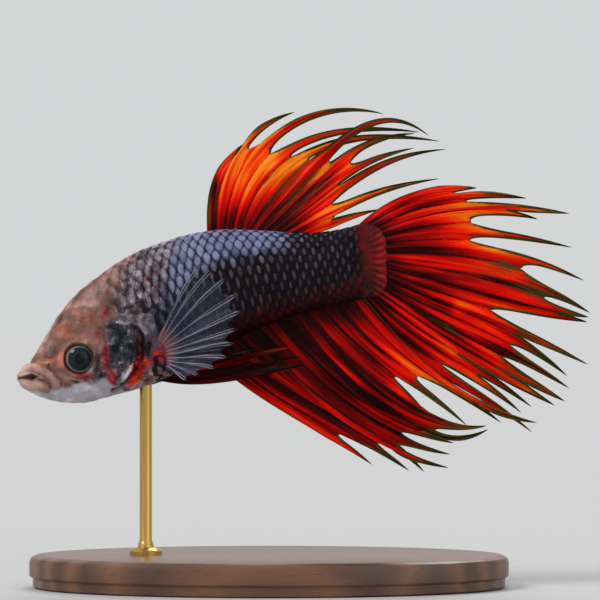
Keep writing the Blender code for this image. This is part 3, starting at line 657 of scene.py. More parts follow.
def make_eye_material():
    """A fish's eye, wet and domed: black pupil, blue-black iris with fine threads, thin silver rim."""
    made, node = new_material("betta_eye_wet")
    away, turn = named(node, "eye_away"), named(node, "eye_turn")
    threads = node("CombineXYZ", turn, away)
    threads = node("TexNoise", {"Vector": threads, "Scale": 7.0, "Detail": 6.0, "Roughness": 0.7})
    nudge = node("MapRange", {0: threads, 3: -0.035, 4: 0.035})
    ring = node("Math", away, nudge, operation="ADD")
    # The pupil, the bright ring round it, the iris, and the silver rim against the skin.
    stops = ((0.0, "020304"), (0.42, "020304"), (0.49, "1E2C34"), (0.60, "101A1F"))
    stops += ((0.80, "18242A"), (0.90, "222E34"), (0.95, "8A8482"), (1.0, "5E443C"))
    tone = node("ValToRGB", ring, stops=stops)
    surface = {"Base Color": tone, "Roughness": 0.07, "IOR": 1.36, "Specular IOR Level": 0.3}
    node("OutputMaterial", {"Surface": node("BsdfPrincipled", surface)})
    return made


def make_fin_material(fins):
    """Fin membrane over bony rays, lit through from behind: wine to orange pigment running along the rays,
    plus painted shade and glow.
    """
    made, node = new_material("betta_fin_red_membrane")
    across, along = named(node, "ray_across"), named(node, "ray_along")
    luck = named(node, "ray_luck")
    lane = node("CombineXYZ", across, along, luck)
    # Streaks of pigment are about 0.7 mm wide and 8 mm long, and wrinkles in the membrane 0.15 mm wide.
    broad = node("VectorMath", lane, (1.1, 0.08, 41.0))
    broad = node("TexNoise", {"Vector": broad, "Scale": 1.0, "Detail": 2.0, "Roughness": 0.5})
    fine = node("VectorMath", lane, (6.5, 0.30, 17.0))
    fine = node("TexNoise", {"Vector": fine, "Scale": 1.0, "Detail": 3.0, "Roughness": 0.6})
    streak = node("MapRange", broad, 0.3, 0.7, -0.20, 0.20)
    wrinkle = node("MapRange", fine, 0.3, 0.7, -0.05, 0.05)
    tone = node("Math", named(node, "tone"), streak, operation="ADD")
    tone = node("Math", tone, wrinkle, operation="ADD", use_clamp=True)
    stops = ((0.0, "1E0003"), (0.12, "3C0004"), (0.27, "680203"), (0.41, "AC0402"))
    stops += ((0.55, "E00A00"), (0.70, "F82602"), (0.84, "FC5E04"), (1.0, "FF9820"))
    colour = node("ValToRGB", tone, stops=stops)
    # Where the olive of the edges thins out, it runs in lines along the ray.
    frayed = node("Math", wrinkle, 7.0, named(node, "rim"), operation="MULTIPLY_ADD")
    rim = node("MapRange", frayed, 0.25, 0.7, interpolation_type="SMOOTHSTEP")
    colour = node("Mix", rim, colour, tuple(fins.edge))
    # Cross joints of the bony rays, about 0.35 mm apart.
    joints = node("Math", along, 18.0)
    joints = node("Math", joints, operation="SINE")
    height = node("Math", joints, 0.04, fine, operation="MULTIPLY_ADD")
    bump = node("Bump", {"Height": height, "Strength": 0.5, "Distance": 0.00008})
    surface = {"Base Color": colour, "Roughness": 0.42, "IOR": 1.36, "Specular IOR Level": 0.13}
    surface = node("BsdfPrincipled", surface | {"Normal": bump})
    lit = node("BsdfTranslucent", {"Color": colour, "Normal": bump})
    mixed = node("MixShader", 0.35, surface, lit)
    node("OutputMaterial", {"Surface": mixed})
    return made


def make_clear_fin_material(fins):
    """Pectoral fin: glassy membrane with no red pigment, over pale horny rays, pink at its root."""
    made, node = new_material("betta_fin_clear_membrane")
    ray, along = named(node, "ray_near"), named(node, "ray_out")
    tone = node("Mix", ray, tuple(fins.clear_web), tuple(fins.clear_ray))
    root = node("MapRange", along, 0.05, 0.24, 0.75, 0.0)
    tone = node("Mix", root, tone, hex_colour("8E504E"))
    web = node("MapRange", along, 0.45, 0.95, 0.34, 0.12)
    clear = node("Math", ray, 0.72, web, operation="MULTIPLY_ADD")
    thick = node("Math", clear, root, operation="ADD", use_clamp=True)
    surface = {"Base Color": tone, "Roughness": 0.35, "IOR": 1.36, "Alpha": thick}
    node("OutputMaterial", {"Surface": node("BsdfPrincipled", surface)})
    return made


def make_walnut_material():
    """Turned and varnished walnut: brown grain in long waves with short dark pores, under a satin film."""
    made, node = new_material("walnut_varnished")
    place = node("TexCoord", out=3)
    long_grain = node("Mapping", {"Vector": place, "Scale": (0.12, 1.0, 1.0)})
    # Growth rings about 3 mm apart.
    bands = {"Vector": long_grain, "Scale": 105.0, "Distortion": 5.0, "Detail": 5.0, "Detail Scale": 1.4}
    bands = node("TexWave", bands, bands_direction="Y")
    pores = node("Mapping", {"Vector": place, "Scale": (0.08, 1.0, 1.0)})
    pores = node("TexNoise", {"Vector": pores, "Scale": 2600.0, "Detail": 3.0})
    stops = ((0.0, "4A2D1C"), (0.45, "583722"), (0.8, "643F28"), (1.0, "6E462C"))
    tone = node("ValToRGB", bands, stops=stops)
    dark = node("MapRange", {0: pores, 1: 0.58, 2: 0.72, 4: 0.45})
    tone = node("Mix", dark, tone, hex_colour("21120B"))
    bump = node("Bump", {"Height": pores, "Strength": 0.2, "Distance": 0.00006})
    surface = {"Base Color": tone, "Roughness": 0.42, "Normal": bump, "Coat Weight": 0.2}
    surface["Coat Roughness"] = 0.2
    node("OutputMaterial", {"Surface": node("BsdfPrincipled", surface)})
    return made


def make_brass_material():
    """Drawn brass rod: warm yellow metal with fine scratches along its length."""
    made, node = new_material("brass_drawn")
    place = node("TexCoord", out=3)
    scratches = node("Mapping", {"Vector": place, "Scale": (1.0, 1.0, 0.02)})
    # Draw marks about 0.06 mm apart.
    scratches = node("TexNoise", {"Vector": scratches, "Scale": 16000.0, "Detail": 1.0})
    rough = node("MapRange", {0: scratches, 3: 0.24, 4: 0.34})
    tone = node("ValToRGB", scratches, stops=((0.3, "B8934C"), (0.7, "C8A45C")))
    bump = node("Bump", {"Height": scratches, "Strength": 0.1, "Distance": 0.00002})
    surface = {"Base Color": tone, "Metallic": 1.0, "Roughness": rough, "Normal": bump}
    node("OutputMaterial", {"Surface": node("BsdfPrincipled", surface)})
    return made


# ---- body relief


def seen(x, y):
    """Where along x a point of a flank shows, seen from its own side: the head's swing carries it back."""
    slope = swing(x, *HEAD_SWING)[1]
    return x + np.abs(y) * np.sin(np.arctan(slope))


def relief(x, z, y):
    """How far the skin stands up or in, in millimetres, at side-view places, and how much painted shade
    darkens its recesses.
    """
    flank = smooth(0.3, 1.3, np.abs(y))
    lip, lip_side = route_distance(x, z, LIP_ROUTE)
    fold, gape, lower = (route_distance(x, z, route)[0] for route in (LIP_FOLD, GAPE_ROUTE, LOWER_LIP))
    cheek, cheek_side = route_distance(x, z, CHEEK_ROUTE)
    plate, plate_side = route_distance(x, z, GILL_PLATE_EDGE)
    flap, flap_side = route_distance(x, z, GILL_SKIN_EDGE)
    # The upper lip with a groove beyond it, its fold, the lower lip and the corner of the gape.
    up = 0.46 * bell(lip, 0.46)
    up -= 0.16 * bell(lip - 0.70, 0.18) * (lip_side > 0)
    up -= 0.30 * bell(fold, 0.14)
    up += 0.34 * bell(lower, 0.45)
    up -= 0.24 * bell(gape, 0.12)
    up *= 0.5 + 0.5 * smooth(-30.3, -29.2, x)
    # A rimmed nostril, the swelling above it, and a pore.
    nostril = np.hypot(x - NOSTRIL[0], z - NOSTRIL[1])
    up += 0.26 * bell(nostril, 0.34) - 0.40 * bell(nostril, 0.12)
    up += 0.14 * spot(x, z, -26.4, 28.5, 0.9, 0.6)
    up -= 0.18 * bell(np.hypot(x - PORE[0], z - PORE[1]), 0.14)
    # The groove behind the cheek, then the gill cover's plate and the edge of skin beyond, each standing
    # higher towards its free edge, with a step down behind it.
    up -= 0.22 * bell(cheek, 0.20) * flank
    up += 0.10 * bell(cheek - 0.55, 0.45) * (cheek_side < 0)
    on_plate = (plate_side > 0) & (x > -20.0) & (x < -15.8)
    up += 0.24 * flank * np.where(on_plate, smooth(1.9, 0.15, plate), smooth(0.18, 0.0, plate))
    up += 0.10 * np.where(on_plate, bell(plate - 0.18, 0.14), 0.0)
    behind_plate = np.where(plate_side > 0, 0.0, bell(plate - 0.12, 0.12))
    up -= 0.12 * behind_plate * flank
    on_flap = np.where(flap_side > 0, smooth(1.6, 0.2, flap), smooth(0.12, 0.0, flap))
    up += 0.16 * on_flap * flank * (x > -19.5)
    gap = np.where(flap_side > 0, 0.0, bell(flap - 0.22, 0.20)) * flank
    up -= 0.42 * gap
    # Blisters and pits of bone under the thin skin of the gill cover.
    on_gill = spot(x, z, -17.6, 29.1, 1.5, 2.9)
    up += 0.09 * on_gill * np.sin(4.6 * x + 1.0) * np.sin(3.4 * z + 1.5 * x)
    lobe = np.hypot((x - PECTORAL_LOBE[0]) / 0.85, (z - PECTORAL_LOBE[1]) / 1.45)
    up += 0.42 * bell(lobe, 0.75)
    # Painted shade in the gape, the lip's fold, the nostril, the gap behind the gill's skin edge, the cheek's
    # groove and behind the plate.
    hollow_shade = 0.35 * bell(gape, 0.10) + 0.10 * bell(fold, 0.10) + 0.8 * bell(nostril, 0.10)
    hollow_shade += 0.95 * gap + 0.5 * bell(cheek, 0.12) * flank + 0.4 * behind_plate * flank
    face = smooth(-14.0, -20.0, x)
    up += 0.035 * np.sin(3.1 * x + 2.0 * z) * np.sin(2.3 * z - 1.4 * x + 2 * y) * face
    return up, np.clip(hollow_shade, 0, 1)


def orbit(x, z, centre):
    """The fold of skin round an eye, and the socket it sits in."""
    away = np.hypot(x - centre[0], z - centre[2])
    return 0.34 * bell(away - 2.06, 0.26) - 1.5 * smooth(1.86, 1.5, away), away


def spot(x, z, middle_x, middle_z, length, width, tilt=0):
    """How near a place is to the middle of an oval spot with soft edges, from 0 to 1."""
    turn = math.radians(tilt)
    dx, dz = x - middle_x, z - middle_z
    along = (dx * math.cos(turn) + dz * math.sin(turn)) / length
    across = (dz * math.cos(turn) - dx * math.sin(turn)) / width
    return bell(np.hypot(along, across), 1.0)


def ray_roots(x, z):
    """How near a place on the tail's root is to one of the tail fin's rays under the skin, from 0 to 1."""
    # The fan of rays is 4.1 high on either side of its middle at x = 11.4, and opens out behind it.
    level = (z - 39.3) / (4.1 + 1.35 * np.clip(x - 11.4, 0, 4))
    return 0.5 + 0.5 * np.cos((len(CAUDAL["rays"]) - 1) * math.pi * level)


def pigment(x, z, y):
    """The flesh's markings at side-view places, as a number from 0 to 1 for each ground. The pale ground also
    carries a painted highlight along the head's ridge, and the black ground painted shade in the gill slit
    and the recesses of the gill cover.
    """
    wave = 0.35 * np.sin(1.9 * x + 1.3 * z) + 0.25 * np.sin(3.3 * z - 1.7 * x)
    edge = -17.3 + 0.32 * (z - 33.0) + wave
    chin = np.interp(x, *CHIN_LINE) + 0.5 * wave
    dark = np.interp(x, *DARK_LINE) + 0.6 * wave
    wine = np.interp(x, *WINE_LINE) + 0.3 * wave
    lip, lower = (route_distance(x, z, route)[0] for route in (LIP_ROUTE, LOWER_LIP))
    middle = eye_centre("left")
    from_eye = np.hypot(x - middle[0], z - middle[2])
    rear = smooth(-13.5, -9.5, x)
    front = smooth(-9.0, -12.0, x) * smooth(-17.5, -14.5, x)
    marks = {key: np.zeros_like(x) for key in ("amber", "slate", "rose", "red", "silver", "black")}
    marks["flank"] = np.maximum(smooth(dark + 1.8, dark - 1.4, z), smooth(-1.5, 5.5, x)) * rear
    marks["flank"] = np.maximum(marks["flank"], 0.55 * front * smooth(39.0, 36.5, z))
    marks["nape"] = 0.95 * smooth(edge + 6.5, edge + 1.0, x)
    marks["face"] = smooth(edge + 1.5, edge - 4.5, x)
    marks["pale"] = smooth(chin + 1.5, chin - 1.3, z) * smooth(-15.5, -18.0, x)
    # A painted highlight along the ridge of the head and nape, where the light falls on top, laid into the
    # pale ground.
    crest_highlight = smooth(1.5, 0.2, np.abs(y)) * smooth(-6.0, -10.0, x) * smooth(27.0, 29.0, z)
    marks["pale"] = np.maximum(marks["pale"], 0.37 * crest_highlight)
    breast = smooth(27.6, 26.2, z + 0.3 * (x + 14)) * smooth(-18.5, -16.5, x)
    marks["breast"] = breast * smooth(-10.0, -11.5, x)
    marks["lip"] = np.maximum(bell(lip, 0.75), 0.95 * bell(lower, 0.75))
    lid = smooth(-0.6, 1.4, (z - middle[2]) - 0.8 * (x - middle[0]))
    marks["lip"] = np.maximum(marks["lip"], 0.52 * lid * bell(from_eye - 2.0, 0.30))
    marks["wine"] = np.maximum(smooth(wine + 3.4, wine - 0.8, z) * rear, 1.3 * smooth(9.4, 12.6, x))
    for key, spots in SPOTS.items():
        for *place, strength in spots:
            marks[key] = np.maximum(marks[key], strength * spot(x, z, *place))
    marks["root"] = smooth(9.8, 13.0, x + 0.25 * (z - 39.0)) * (0.75 + 0.2 * smooth(36.0, 42.0, z))
    marks["stem"] = smooth(11.9, 13.9, x + 0.2 * wave) * (0.30 + 0.70 * ray_roots(x, z))
    flank = smooth(0.4, 1.4, np.abs(y))
    for key in ("amber", "slate", "rose", "red"):
        marks[key] = marks[key] * flank
    marks["specked"] = smooth(-12.0, -15.5, x) * (1 - 0.6 * marks["slate"]) * (1 - marks["lip"])
    return {key: np.clip(value, 0, 1) for key, value in marks.items()}


def skin_surface(u, angle, depth):
    """Straight points of the skin with its relief, where they show from the side, and the painted shade of
    their recesses.
    """
    base = body_points(u, angle, -depth)
    x, y, z = np.moveaxis(base, -1, 0)
    outward = body_points(u, angle, 0.5) - body_points(u, angle, -0.5)
    outward /= np.linalg.norm(outward, axis=-1, keepdims=True)
    side_x = seen(x, y)
    up, hollow_shade = relief(side_x, z, y)
    rim, away = orbit(side_x, z, eye_centre("left"))
    flank = smooth(0.8, 1.6, np.abs(y))
    up = up * smooth(1.6, 2.3, away) + rim * flank
    # Painted shade in the socket round the eye's edge.
    hollow_shade = np.maximum(hollow_shade, 0.35 * smooth(1.84, 1.7, away) * flank)
    return base + outward * up[..., None], (side_x, z, y), hollow_shade, outward


# ---- pieces and their operators


def tail_lobe(last, rings=24, reach=2.3):
    """Rings of points that carry on from a body's last ring and thin out to an upright rounded edge."""
    middle = last.mean(axis=0)
    share = np.linspace(0, 1, rings + 1)[1:, None]
    turn = np.cos(share * math.pi / 2)
    shrink = np.stack([turn, 0.98 * turn**2 + 0.02, 0.995 * turn**0.45 + 0.005], axis=-1)
    onward = np.stack([reach * np.sin(share * math.pi / 2), 0 * share, 0 * share], axis=-1)
    lobe = middle + (last - middle) * shrink + onward
    ridges = 0.16 * ray_roots(lobe[..., 0], lobe[..., 2]) * np.sin(math.pi * share**0.8)
    aside = lobe[..., 1] - middle[1]
    lobe[..., 1] += np.sign(aside) * ridges * smooth(0.0, 0.2, np.abs(aside))
    return lobe


def snout_tip(first, rings=20, reach=0.22):
    """Rings of points that close the snout from its first ring to the middle, slightly domed."""
    share = np.linspace(1, 0.03, rings)[:, None, None]
    middle = first.mean(axis=0)
    tip = middle + (first - middle) * share
    tip[..., 0] -= reach * (1 - share[..., 0] ** 2)
    return tip


def open_mouth(points, x, z, y, depth=0.6):
    """Sinks the skin along the gape that runs across the snout, and says how far into it each point is."""
    from_middle = np.abs(z - np.interp(x, *MOUTH_MIDDLE)) / np.interp(x, *MOUTH_HALF)
    sunk = smooth(1.6, 0.5, from_middle) * smooth(-27.4, -28.0, x)
    front = smooth(1.7, 0.5, np.abs(y))
    inward = np.stack([front, -np.sign(y) * (1 - front), 0 * y], axis=-1)
    return points + (depth * sunk * (1 - 0.7 * front))[..., None] * inward, sunk


class BETTA_OT_skin(bpy.types.Operator):
    """Adds the one skin of head, trunk and tail, with lips, nostrils, gill covers and orbits"""

    bl_idname = "betta.skin"
    bl_label = "Skin"

    def execute(self, context):
        body = context.scene.betta_body
        rings, round_it = SKIN_RINGS, SKIN_SIDES + 1
        # Rings lie closest together at the snout. The seam along the belly has its points twice.
        spread = np.linspace(0, 1, rings)
        u = LAST_STATION * (0.40 * spread + 0.60 * spread**1.8)
        angle = np.linspace(-math.pi, math.pi, round_it)
        grid_u, grid_a = np.meshgrid(u, angle, indexing="ij")
        points, (x, z, y), hollow_shade, _ = skin_surface(grid_u, grid_a, body.skin_depth / MM)
        lobe, tip = tail_lobe(points[-1]), snout_tip(points[0])
        shown = snout_tip(np.stack([x[0], y[0], z[0]], axis=-1))
        points = np.concatenate([points, lobe, tip])
        x, y, z = (np.concatenate([old, lobe[..., i], shown[..., i]]) for i, old in enumerate((x, y, z)))
        points, sunk = open_mouth(points, x, z, y)
        marks = pigment(x, z, y)
        # Painted shade inside the open mouth, taken together with that of the skin's recesses.
        marks["hollow_shade"] = 0.85 * sunk
        marks["hollow_shade"][:rings] = np.maximum(0.85 * sunk[:rings], hollow_shade)
        # The lobe and the snout's tip have the last strips of the unwrap.
        end = np.linspace(LAST_STATION, LAST_STATION + LOBE_STRIP, len(lobe) + 1)[1:]
        front = np.linspace(UNWRAP - TIP_STRIP, UNWRAP, len(tip))
        along = np.concatenate([u, end, front]) / UNWRAP
        across, along = np.meshgrid(np.linspace(0, 1, round_it), along)
        uv = np.stack([along, across], axis=-1).reshape(-1, 2)
        numbers = {key: value.ravel() for key, value in marks.items()}
        behind = rings + len(lobe)
        faces = [grid_faces(behind, round_it), grid_faces(len(tip), round_it, start=behind * round_it)]
        faces = np.concatenate(faces)
        skin = add_mesh("skin", bend(points.reshape(-1, 3)), faces, make_skin_material(body), numbers, uv)
        mend(skin, WELD, fill=True)
        flesh = "head", "lower_jaw", "gill_cover_left", "gill_cover_right", "trunk", "tail_wrist"
        dress(skin, "flesh_head", *flesh)
        return {"FINISHED"}


class BETTA_OT_scales(bpy.types.Operator):
    """Adds the scales of both flanks, each a curved plate rooted in front and free behind"""

    bl_idname = "betta.scales"
    bl_label = "Scales"

    def execute(self, context):
        body = context.scene.betta_body
        material = make_scale_material(body)
        for side, sign in (("left", -1), ("right", 1)):
            dress(scale_coat(f"scales_{side}", sign, body, material), "flesh_body")
        return {"FINISHED"}


def along_places(pitch):
    """Stations a pitch apart along the middle of the flank, from the nape to the tail."""
    u = np.linspace(4.6, LAST_STATION - 0.05, 600)
    middle = body_points(u, np.full_like(u, math.pi / 2))
    run = np.concatenate([[0], np.cumsum(np.linalg.norm(np.diff(middle, axis=0), axis=1))])
    return np.interp(np.arange(0, run[-1], pitch), run, u)


def scale_coat(name, sign, body, material):
    """All scales of one side, as one joined mesh."""
    rng = np.random.default_rng(7 if sign < 0 else 8)
    columns = along_places(body.scale_pitch / MM / 2)
    rows = body.scale_rows
    span = math.pi / rows
    k, row = np.meshgrid(np.arange(len(columns) - 1), np.arange(rows + 1), indexing="ij")
    whole = ((k + row) % 2 == 0) & (k + 3 < len(columns))
    k, row = k[whole], row[whole]
    root_u, end_u = columns[k], columns[k + 3]
    root_angle = span * row
    keep = scaled_there(root_u, root_angle)
    root_u, end_u, root_angle = root_u[keep], end_u[keep], root_angle[keep]
    count = len(root_u)
    luck = rng.uniform(size=count)
    reach = rng.uniform(0.95, 1.05, size=count)
    wide = 1.02 * span * (1 + 0.04 * rng.standard_normal(count))

    # s runs from a scale's root to its free end, and t across it.
    s, t = np.meshgrid(np.linspace(0, 1, SCALE_POINTS), np.linspace(-1, 1, SCALE_POINTS), indexing="ij")
    half = np.sqrt(np.clip(1 - np.clip((s - 0.42) / 0.58, 0, 1) ** 2.2, 0, 1))
    half = np.maximum(half * smooth(-0.5, 0.3, s), 0.02)
    root_u, end_u, root_angle, luck, reach, wide = (
        value[:, None, None] for value in (root_u, end_u, root_angle, luck, reach, wide)
    )
    u = root_u + (end_u - root_u) * s * reach
    angle = sign * (root_angle + t * half * wide)
    skin, (x, z, y), _, outward = skin_surface(u, angle, body.skin_depth / MM)
    lift = 0.015 + 0.09 * s**1.5 * (1 - 0.5 * t**2) + 0.03 * (1 - t**2)
    lift = np.where((s > 0.999) | (np.abs(t) > 0.999) | (s < 0.001), -0.05, lift)
    points = skin + outward * lift[..., None]

    marks = pigment(x, z, y)
    dark, wine = np.interp(x, *DARK_LINE), np.interp(x, *WINE_LINE)
    top = smooth(dark - 2.4, dark + 1.4, z) * smooth(-16.0, -12.5, x + 0.5 * (z - 40))
    front = smooth(-8.5, -11.5, x) * smooth(-14.8, -13.6, x + 0.2 * (z - 30)) * (1 - top)
    nape = smooth(-11.0, -14.0, x) * smooth(-21.5, -18.5, x) * smooth(32.0, 33.5, z)
    top = top * smooth(6.5, 0.5, x) * (1 - nape)
    marks["scale_top"] = np.maximum(top, 0.4 * nape)
    marks["slim"] = 0.125 + 0.125 * top - 0.05 * front - 0.02 * nape
    low = smooth(wine - 0.8, wine + 2.5, z)
    marks["shine"] = (0.26 + 0.46 * top) * low * smooth(12.5, 8.0, x) + 0.45 * np.maximum(front, nape)
    # How strong each scale's dark rim is: pigment, and painted shade at the root where the scale before
    # overlaps it.
    marks["rimmed"] = (0.25 + 0.65 * smooth(-20.5, -15.0, x)) * smooth(12.0, 9.0, x)
    marks["scale_along"] = s
    marks["scale_across"] = t * (0.6 + 0.4 * half)
    marks["scale_luck"] = luck
    numbers = {key: np.broadcast_to(value, u.shape).ravel() for key, value in marks.items()}

    patch = np.stack([s - 0.5, t / 2], axis=-1) * SCALE_PATCH
    roots = np.stack([root_u / UNWRAP, (sign * root_angle + math.pi) / (2 * math.pi)], axis=-1)
    uv = np.clip(roots + patch, 0, 1).reshape(-1, 2)
    starts = np.arange(count) * SCALE_POINTS**2
    faces = (grid_faces(SCALE_POINTS, SCALE_POINTS) + starts[:, None, None]).reshape(-1, 4)
    coat = add_mesh(name, bend(points.reshape(-1, 3)), faces, material, numbers, uv)
    mend(coat)
    return coat


def scaled_there(u, angle):
    """True where the skin carries scales: not on the face, the gill covers or the roots of the fins."""
    x, y, z = np.moveaxis(body_points(u, angle), -1, 0)
    x = seen(x, y)
    gill, side = route_distance(x, z, GILL_SKIN_EDGE)
    nape = (z > 34.0) & (x > -21.5 + 0.4 * (40.0 - z))
    behind = (x > -14.2) | ((side < 0) & (gill > 0.8) & (z > 26.5) & (x > -17.0))
    lobe = np.hypot((x - PECTORAL_LOBE[0]) / 1.3, (z - PECTORAL_LOBE[1]) / 1.9) < 1
    return (nape | behind) & ~lobe & (x < 11.3)


class BETTA_OT_eyes(bpy.types.Operator):
    """Adds both eyeballs, each one closed ball domed in front with the iris coloured over the dome, seated in
    the orbits
    """

    bl_idname = "betta.eyes"
    bl_label = "Eyes"

    def execute(self, context):
        iris = context.scene.betta_body.iris_radius / MM
        material = make_eye_material()
        # p is the angle from the middle of the cornea back, and a the angle round it.
        polar = np.linspace(0, math.pi, EYE_RINGS)
        turn = np.linspace(0, 2 * math.pi, EYE_SIDES, endpoint=False)
        p, a = np.meshgrid(polar, turn, indexing="ij")
        radius = EYE_WIDER * iris
        away = np.where(p > math.pi / 2, 1.0, np.clip(np.sin(p) * radius / iris, 0, 1))
        numbers = {"eye_away": away.ravel(), "eye_turn": (4 * np.abs(a / math.pi - 1)).ravel()}
        for side, sign in (("left", -1), ("right", 1)):
            centre = eye_centre(side)
            bulge = sign * EYE_DEEP * np.cos(p) * (1 + 0.10 * bell(p, 0.6))
            ball = np.stack([radius * np.sin(p) * np.cos(a), bulge, radius * np.sin(p) * np.sin(a)], axis=-1)
            lean = math.atan(swing(np.array([centre[0]]), *HEAD_SWING)[1][0])
            c, s = math.cos(lean), math.sin(lean)
            ball = ball @ np.array([[c, s, 0], [-s, c, 0], [0, 0, 1]])
            faces = grid_faces(len(polar), len(turn), closed=True)
            eye = add_mesh(f"eyeball_{side}", (ball + centre).reshape(-1, 3), faces, material, numbers)
            mend(eye, WELD, fill=True)
            dress(eye, "eye", f"eye_{side}")
        return {"FINISHED"}


def heading(degrees):
    """A step of length 1 in that direction, as x and z."""
    return np.array([math.cos(math.radians(degrees)), math.sin(math.radians(degrees))])


def ray_curve(root, ray, reach, t):
    """Points at t on a ray: a cubic curve from root to tip, at the ray's two angles."""
    tip, t = np.array(ray[:2]), np.asarray(t)[:, None]
    length = np.linalg.norm(tip - root)
    first = root + heading(ray[2]) * reach[0] * length
    second = tip - heading(ray[3]) * reach[1] * length
    near, far = 1 - t, t
    return near**3 * root + 3 * far * near**2 * first + 3 * far**2 * near * second + far**3 * tip


def fin_rays(fin, t):
    """Middle lines of a fin's rays from the side, and how far each point lies to one side of the fish."""
    count = len(fin["rays"])
    front, rear = np.array(fin["root"])
    first, wave, last = fin["sway"]
    first_root, last_root = fin["root_y"]
    curves, depths = [], []
    for i, ray in enumerate(fin["rays"]):
        across = i / (count - 1)
        sway = first + (last - first) * across + wave * math.sin(2 * math.pi * 1.5 * across)
        lean = sway * t ** fin["leaves"] + PLEAT * (-1) ** i * t
        curves.append(ray_curve(front + (rear - front) * across, ray, fin["reach"], t))
        depths.append(first_root + (last_root - first_root) * across + lean)
    return np.array(curves), np.array(depths)


def outer_side(curves):
    """Which way round a fin's rays follow each other: 1 or -1."""
    lead, following = curves[0, 1] - curves[0, 0], curves[1, 0] - curves[0, 0]
    return 1 if lead[0] * following[1] - lead[1] * following[0] < 0 else -1


def fin_strips(fin, fins, rows=90, across=11, seed=1):
    """A fin strip by strip, each from one ray to the free edge or to the middle of the web beside it."""
    rng = np.random.default_rng(seed)
    # Rows of points lie a little closer together towards the tips.
    t = np.linspace(0, 1, rows) ** 0.94
    curves, depths = fin_rays(fin, t)
    t, depths = t[:, None], depths[..., None]
    count = len(curves)
    along = np.gradient(curves, axis=1)
    along /= np.linalg.norm(along, axis=2, keepdims=True)
    sideways = np.stack([-along[..., 1], along[..., 0]], axis=-1) * outer_side(curves)
    run = np.linalg.norm(np.diff(curves, axis=1), axis=2)
    run = np.concatenate([np.zeros((count, 1)), np.cumsum(run, axis=1)], axis=1)[..., None]
    w = np.linspace(0, 1, across)[None]
    ray, web = fins.ray_thickness / MM, fins.web_thickness / MM
    fold_shades = rng.uniform(0, 1, size=count + 1) ** 1.5
    lucks = rng.uniform(size=count)
    brights = rng.uniform(-0.12, 0.12, size=count)
    fork = fin["fork"] * smooth(0.30, 0.72, t)
    pieces = []
    for i in range(count):
        joined = fin["rays"][i][4] if i < count - 1 else fin["rays"][i - 1][4]
        for way in (-1, 1):  # towards the ray before, then towards the ray after
            j = i + way
            between = 0 <= j < count
            if between:
                joined = fin["rays"][min(i, j)][4]
            spike = np.clip((t - joined) / (1 - joined), 0, 1)
            blade = fin["blade"] * (0.18 + 0.82 * (1 - spike) ** 0.85) * np.sqrt(1 - spike**6)
            free = curves[i] - way * sideways[i] * blade
            if between:
                opening = np.clip((t - joined) / fin["notch"], 0, 1)
                opening = np.sqrt(1 - (1 - opening) ** 2)
                halfway = (curves[i] + curves[j]) / 2
                half_depth = (depths[i] + depths[j]) / 2
                edge = halfway + opening * (free - halfway)
                edge_depth = half_depth + opening * (depths[i] - half_depth)
            else:
                opening, edge, edge_depth = np.ones((rows, 1)), free, depths[i]
            width = np.linalg.norm(edge - curves[i], axis=1, keepdims=True)
            reach = width * w
            from_fork = np.abs(reach - fork)
            raised = bell(from_fork, 0.13)
            thin = (web + (ray - web) * raised) * (0.4 + 0.6 * (1 - t) ** 0.5)
            thin = thin * (1 - 0.985 * (w > 0.99) * smooth(0.0, 0.3, opening))
            # The web bellies out between rays and is creased where a fold runs down its middle.
            belly = 0.22 * np.sin(math.pi * w) * np.sin(1.3 * i + 4 * t) * smooth(0.05, 0.4, t)
            depth = depths[i] + (edge_depth - depths[i]) * w + belly * (w < 0.99)
            to_edge = width * (1 - w)
            before_notch = np.clip(joined - t, 0, 1)
            rim = 0.75 * smooth(0.0, 0.25, opening) * bell(to_edge, np.minimum(0.14, 0.05 + 0.30 * width))
            rim = np.maximum(rim, bell(np.hypot(before_notch * run[i, -1], to_edge), 0.34) * between)
            rim = np.maximum(rim, smooth(0.62, 0.96, spike))
            # Painted light and shade of the pleated web: each ray's band is painted brighter on its forward
            # side and darker towards the fold line behind it.
            tone = fin["tone"] + brights[i] + fin["ray_tone"] * raised
            tone = tone - 0.15 * way * w * np.minimum(width, 1.0)
            tone = tone - fin["root_dark"] * smooth(0.22, 0.0, t)
            tone = tone + fin["glow"] * smooth(joined - 0.32, joined, t) * smooth(1.3, 0.7, spike)
            if between:
                # Painted shade along the fold line between rays, deeper on some, fading out at the notch.
                crease_shade = (0.25 + 0.75 * fold_shades[max(i, j)]) * bell(to_edge, 0.24) + 0.6 * bell(to_edge, 0.09)
                tone = tone - 0.31 * crease_shade * smooth(joined + 0.02, joined - 0.2, t)
            flat = curves[i][:, None] + (edge - curves[i])[:, None] * w[..., None]
            x, z = np.moveaxis(flat, -1, 0)
            # The tone spots: the darker ones are painted shade where pleats overlap, the brighter ones
            # painted glow and highlights of light through the web along with brighter pigment.
            for *place, change in fin["tones"]:
                tone = tone + change * spot(x, z, *place)
            # Olive spreads in from the edges, and up from the creases between rays.
            for *place, share in fin["olive"]:
                spread = share * spot(x, z, *place)
                rim = np.maximum(rim, spread * (0.50 + 0.50 * bell(to_edge, 0.36)))
            piece = {"flat": flat, "depth": depth, "thin": thin, "ray_across": way * reach}
            piece |= {"ray_along": run[i] + 0 * reach, "ray_out": t + 0 * reach}
            piece |= {"ray_near": bell(from_fork, 0.06), "ray_luck": lucks[i] + 0 * reach}
            pieces.append(piece | {"rim": fin["edge"] * np.clip(rim, 0, 1), "tone": np.clip(tone, 0, 1)})
    return pieces


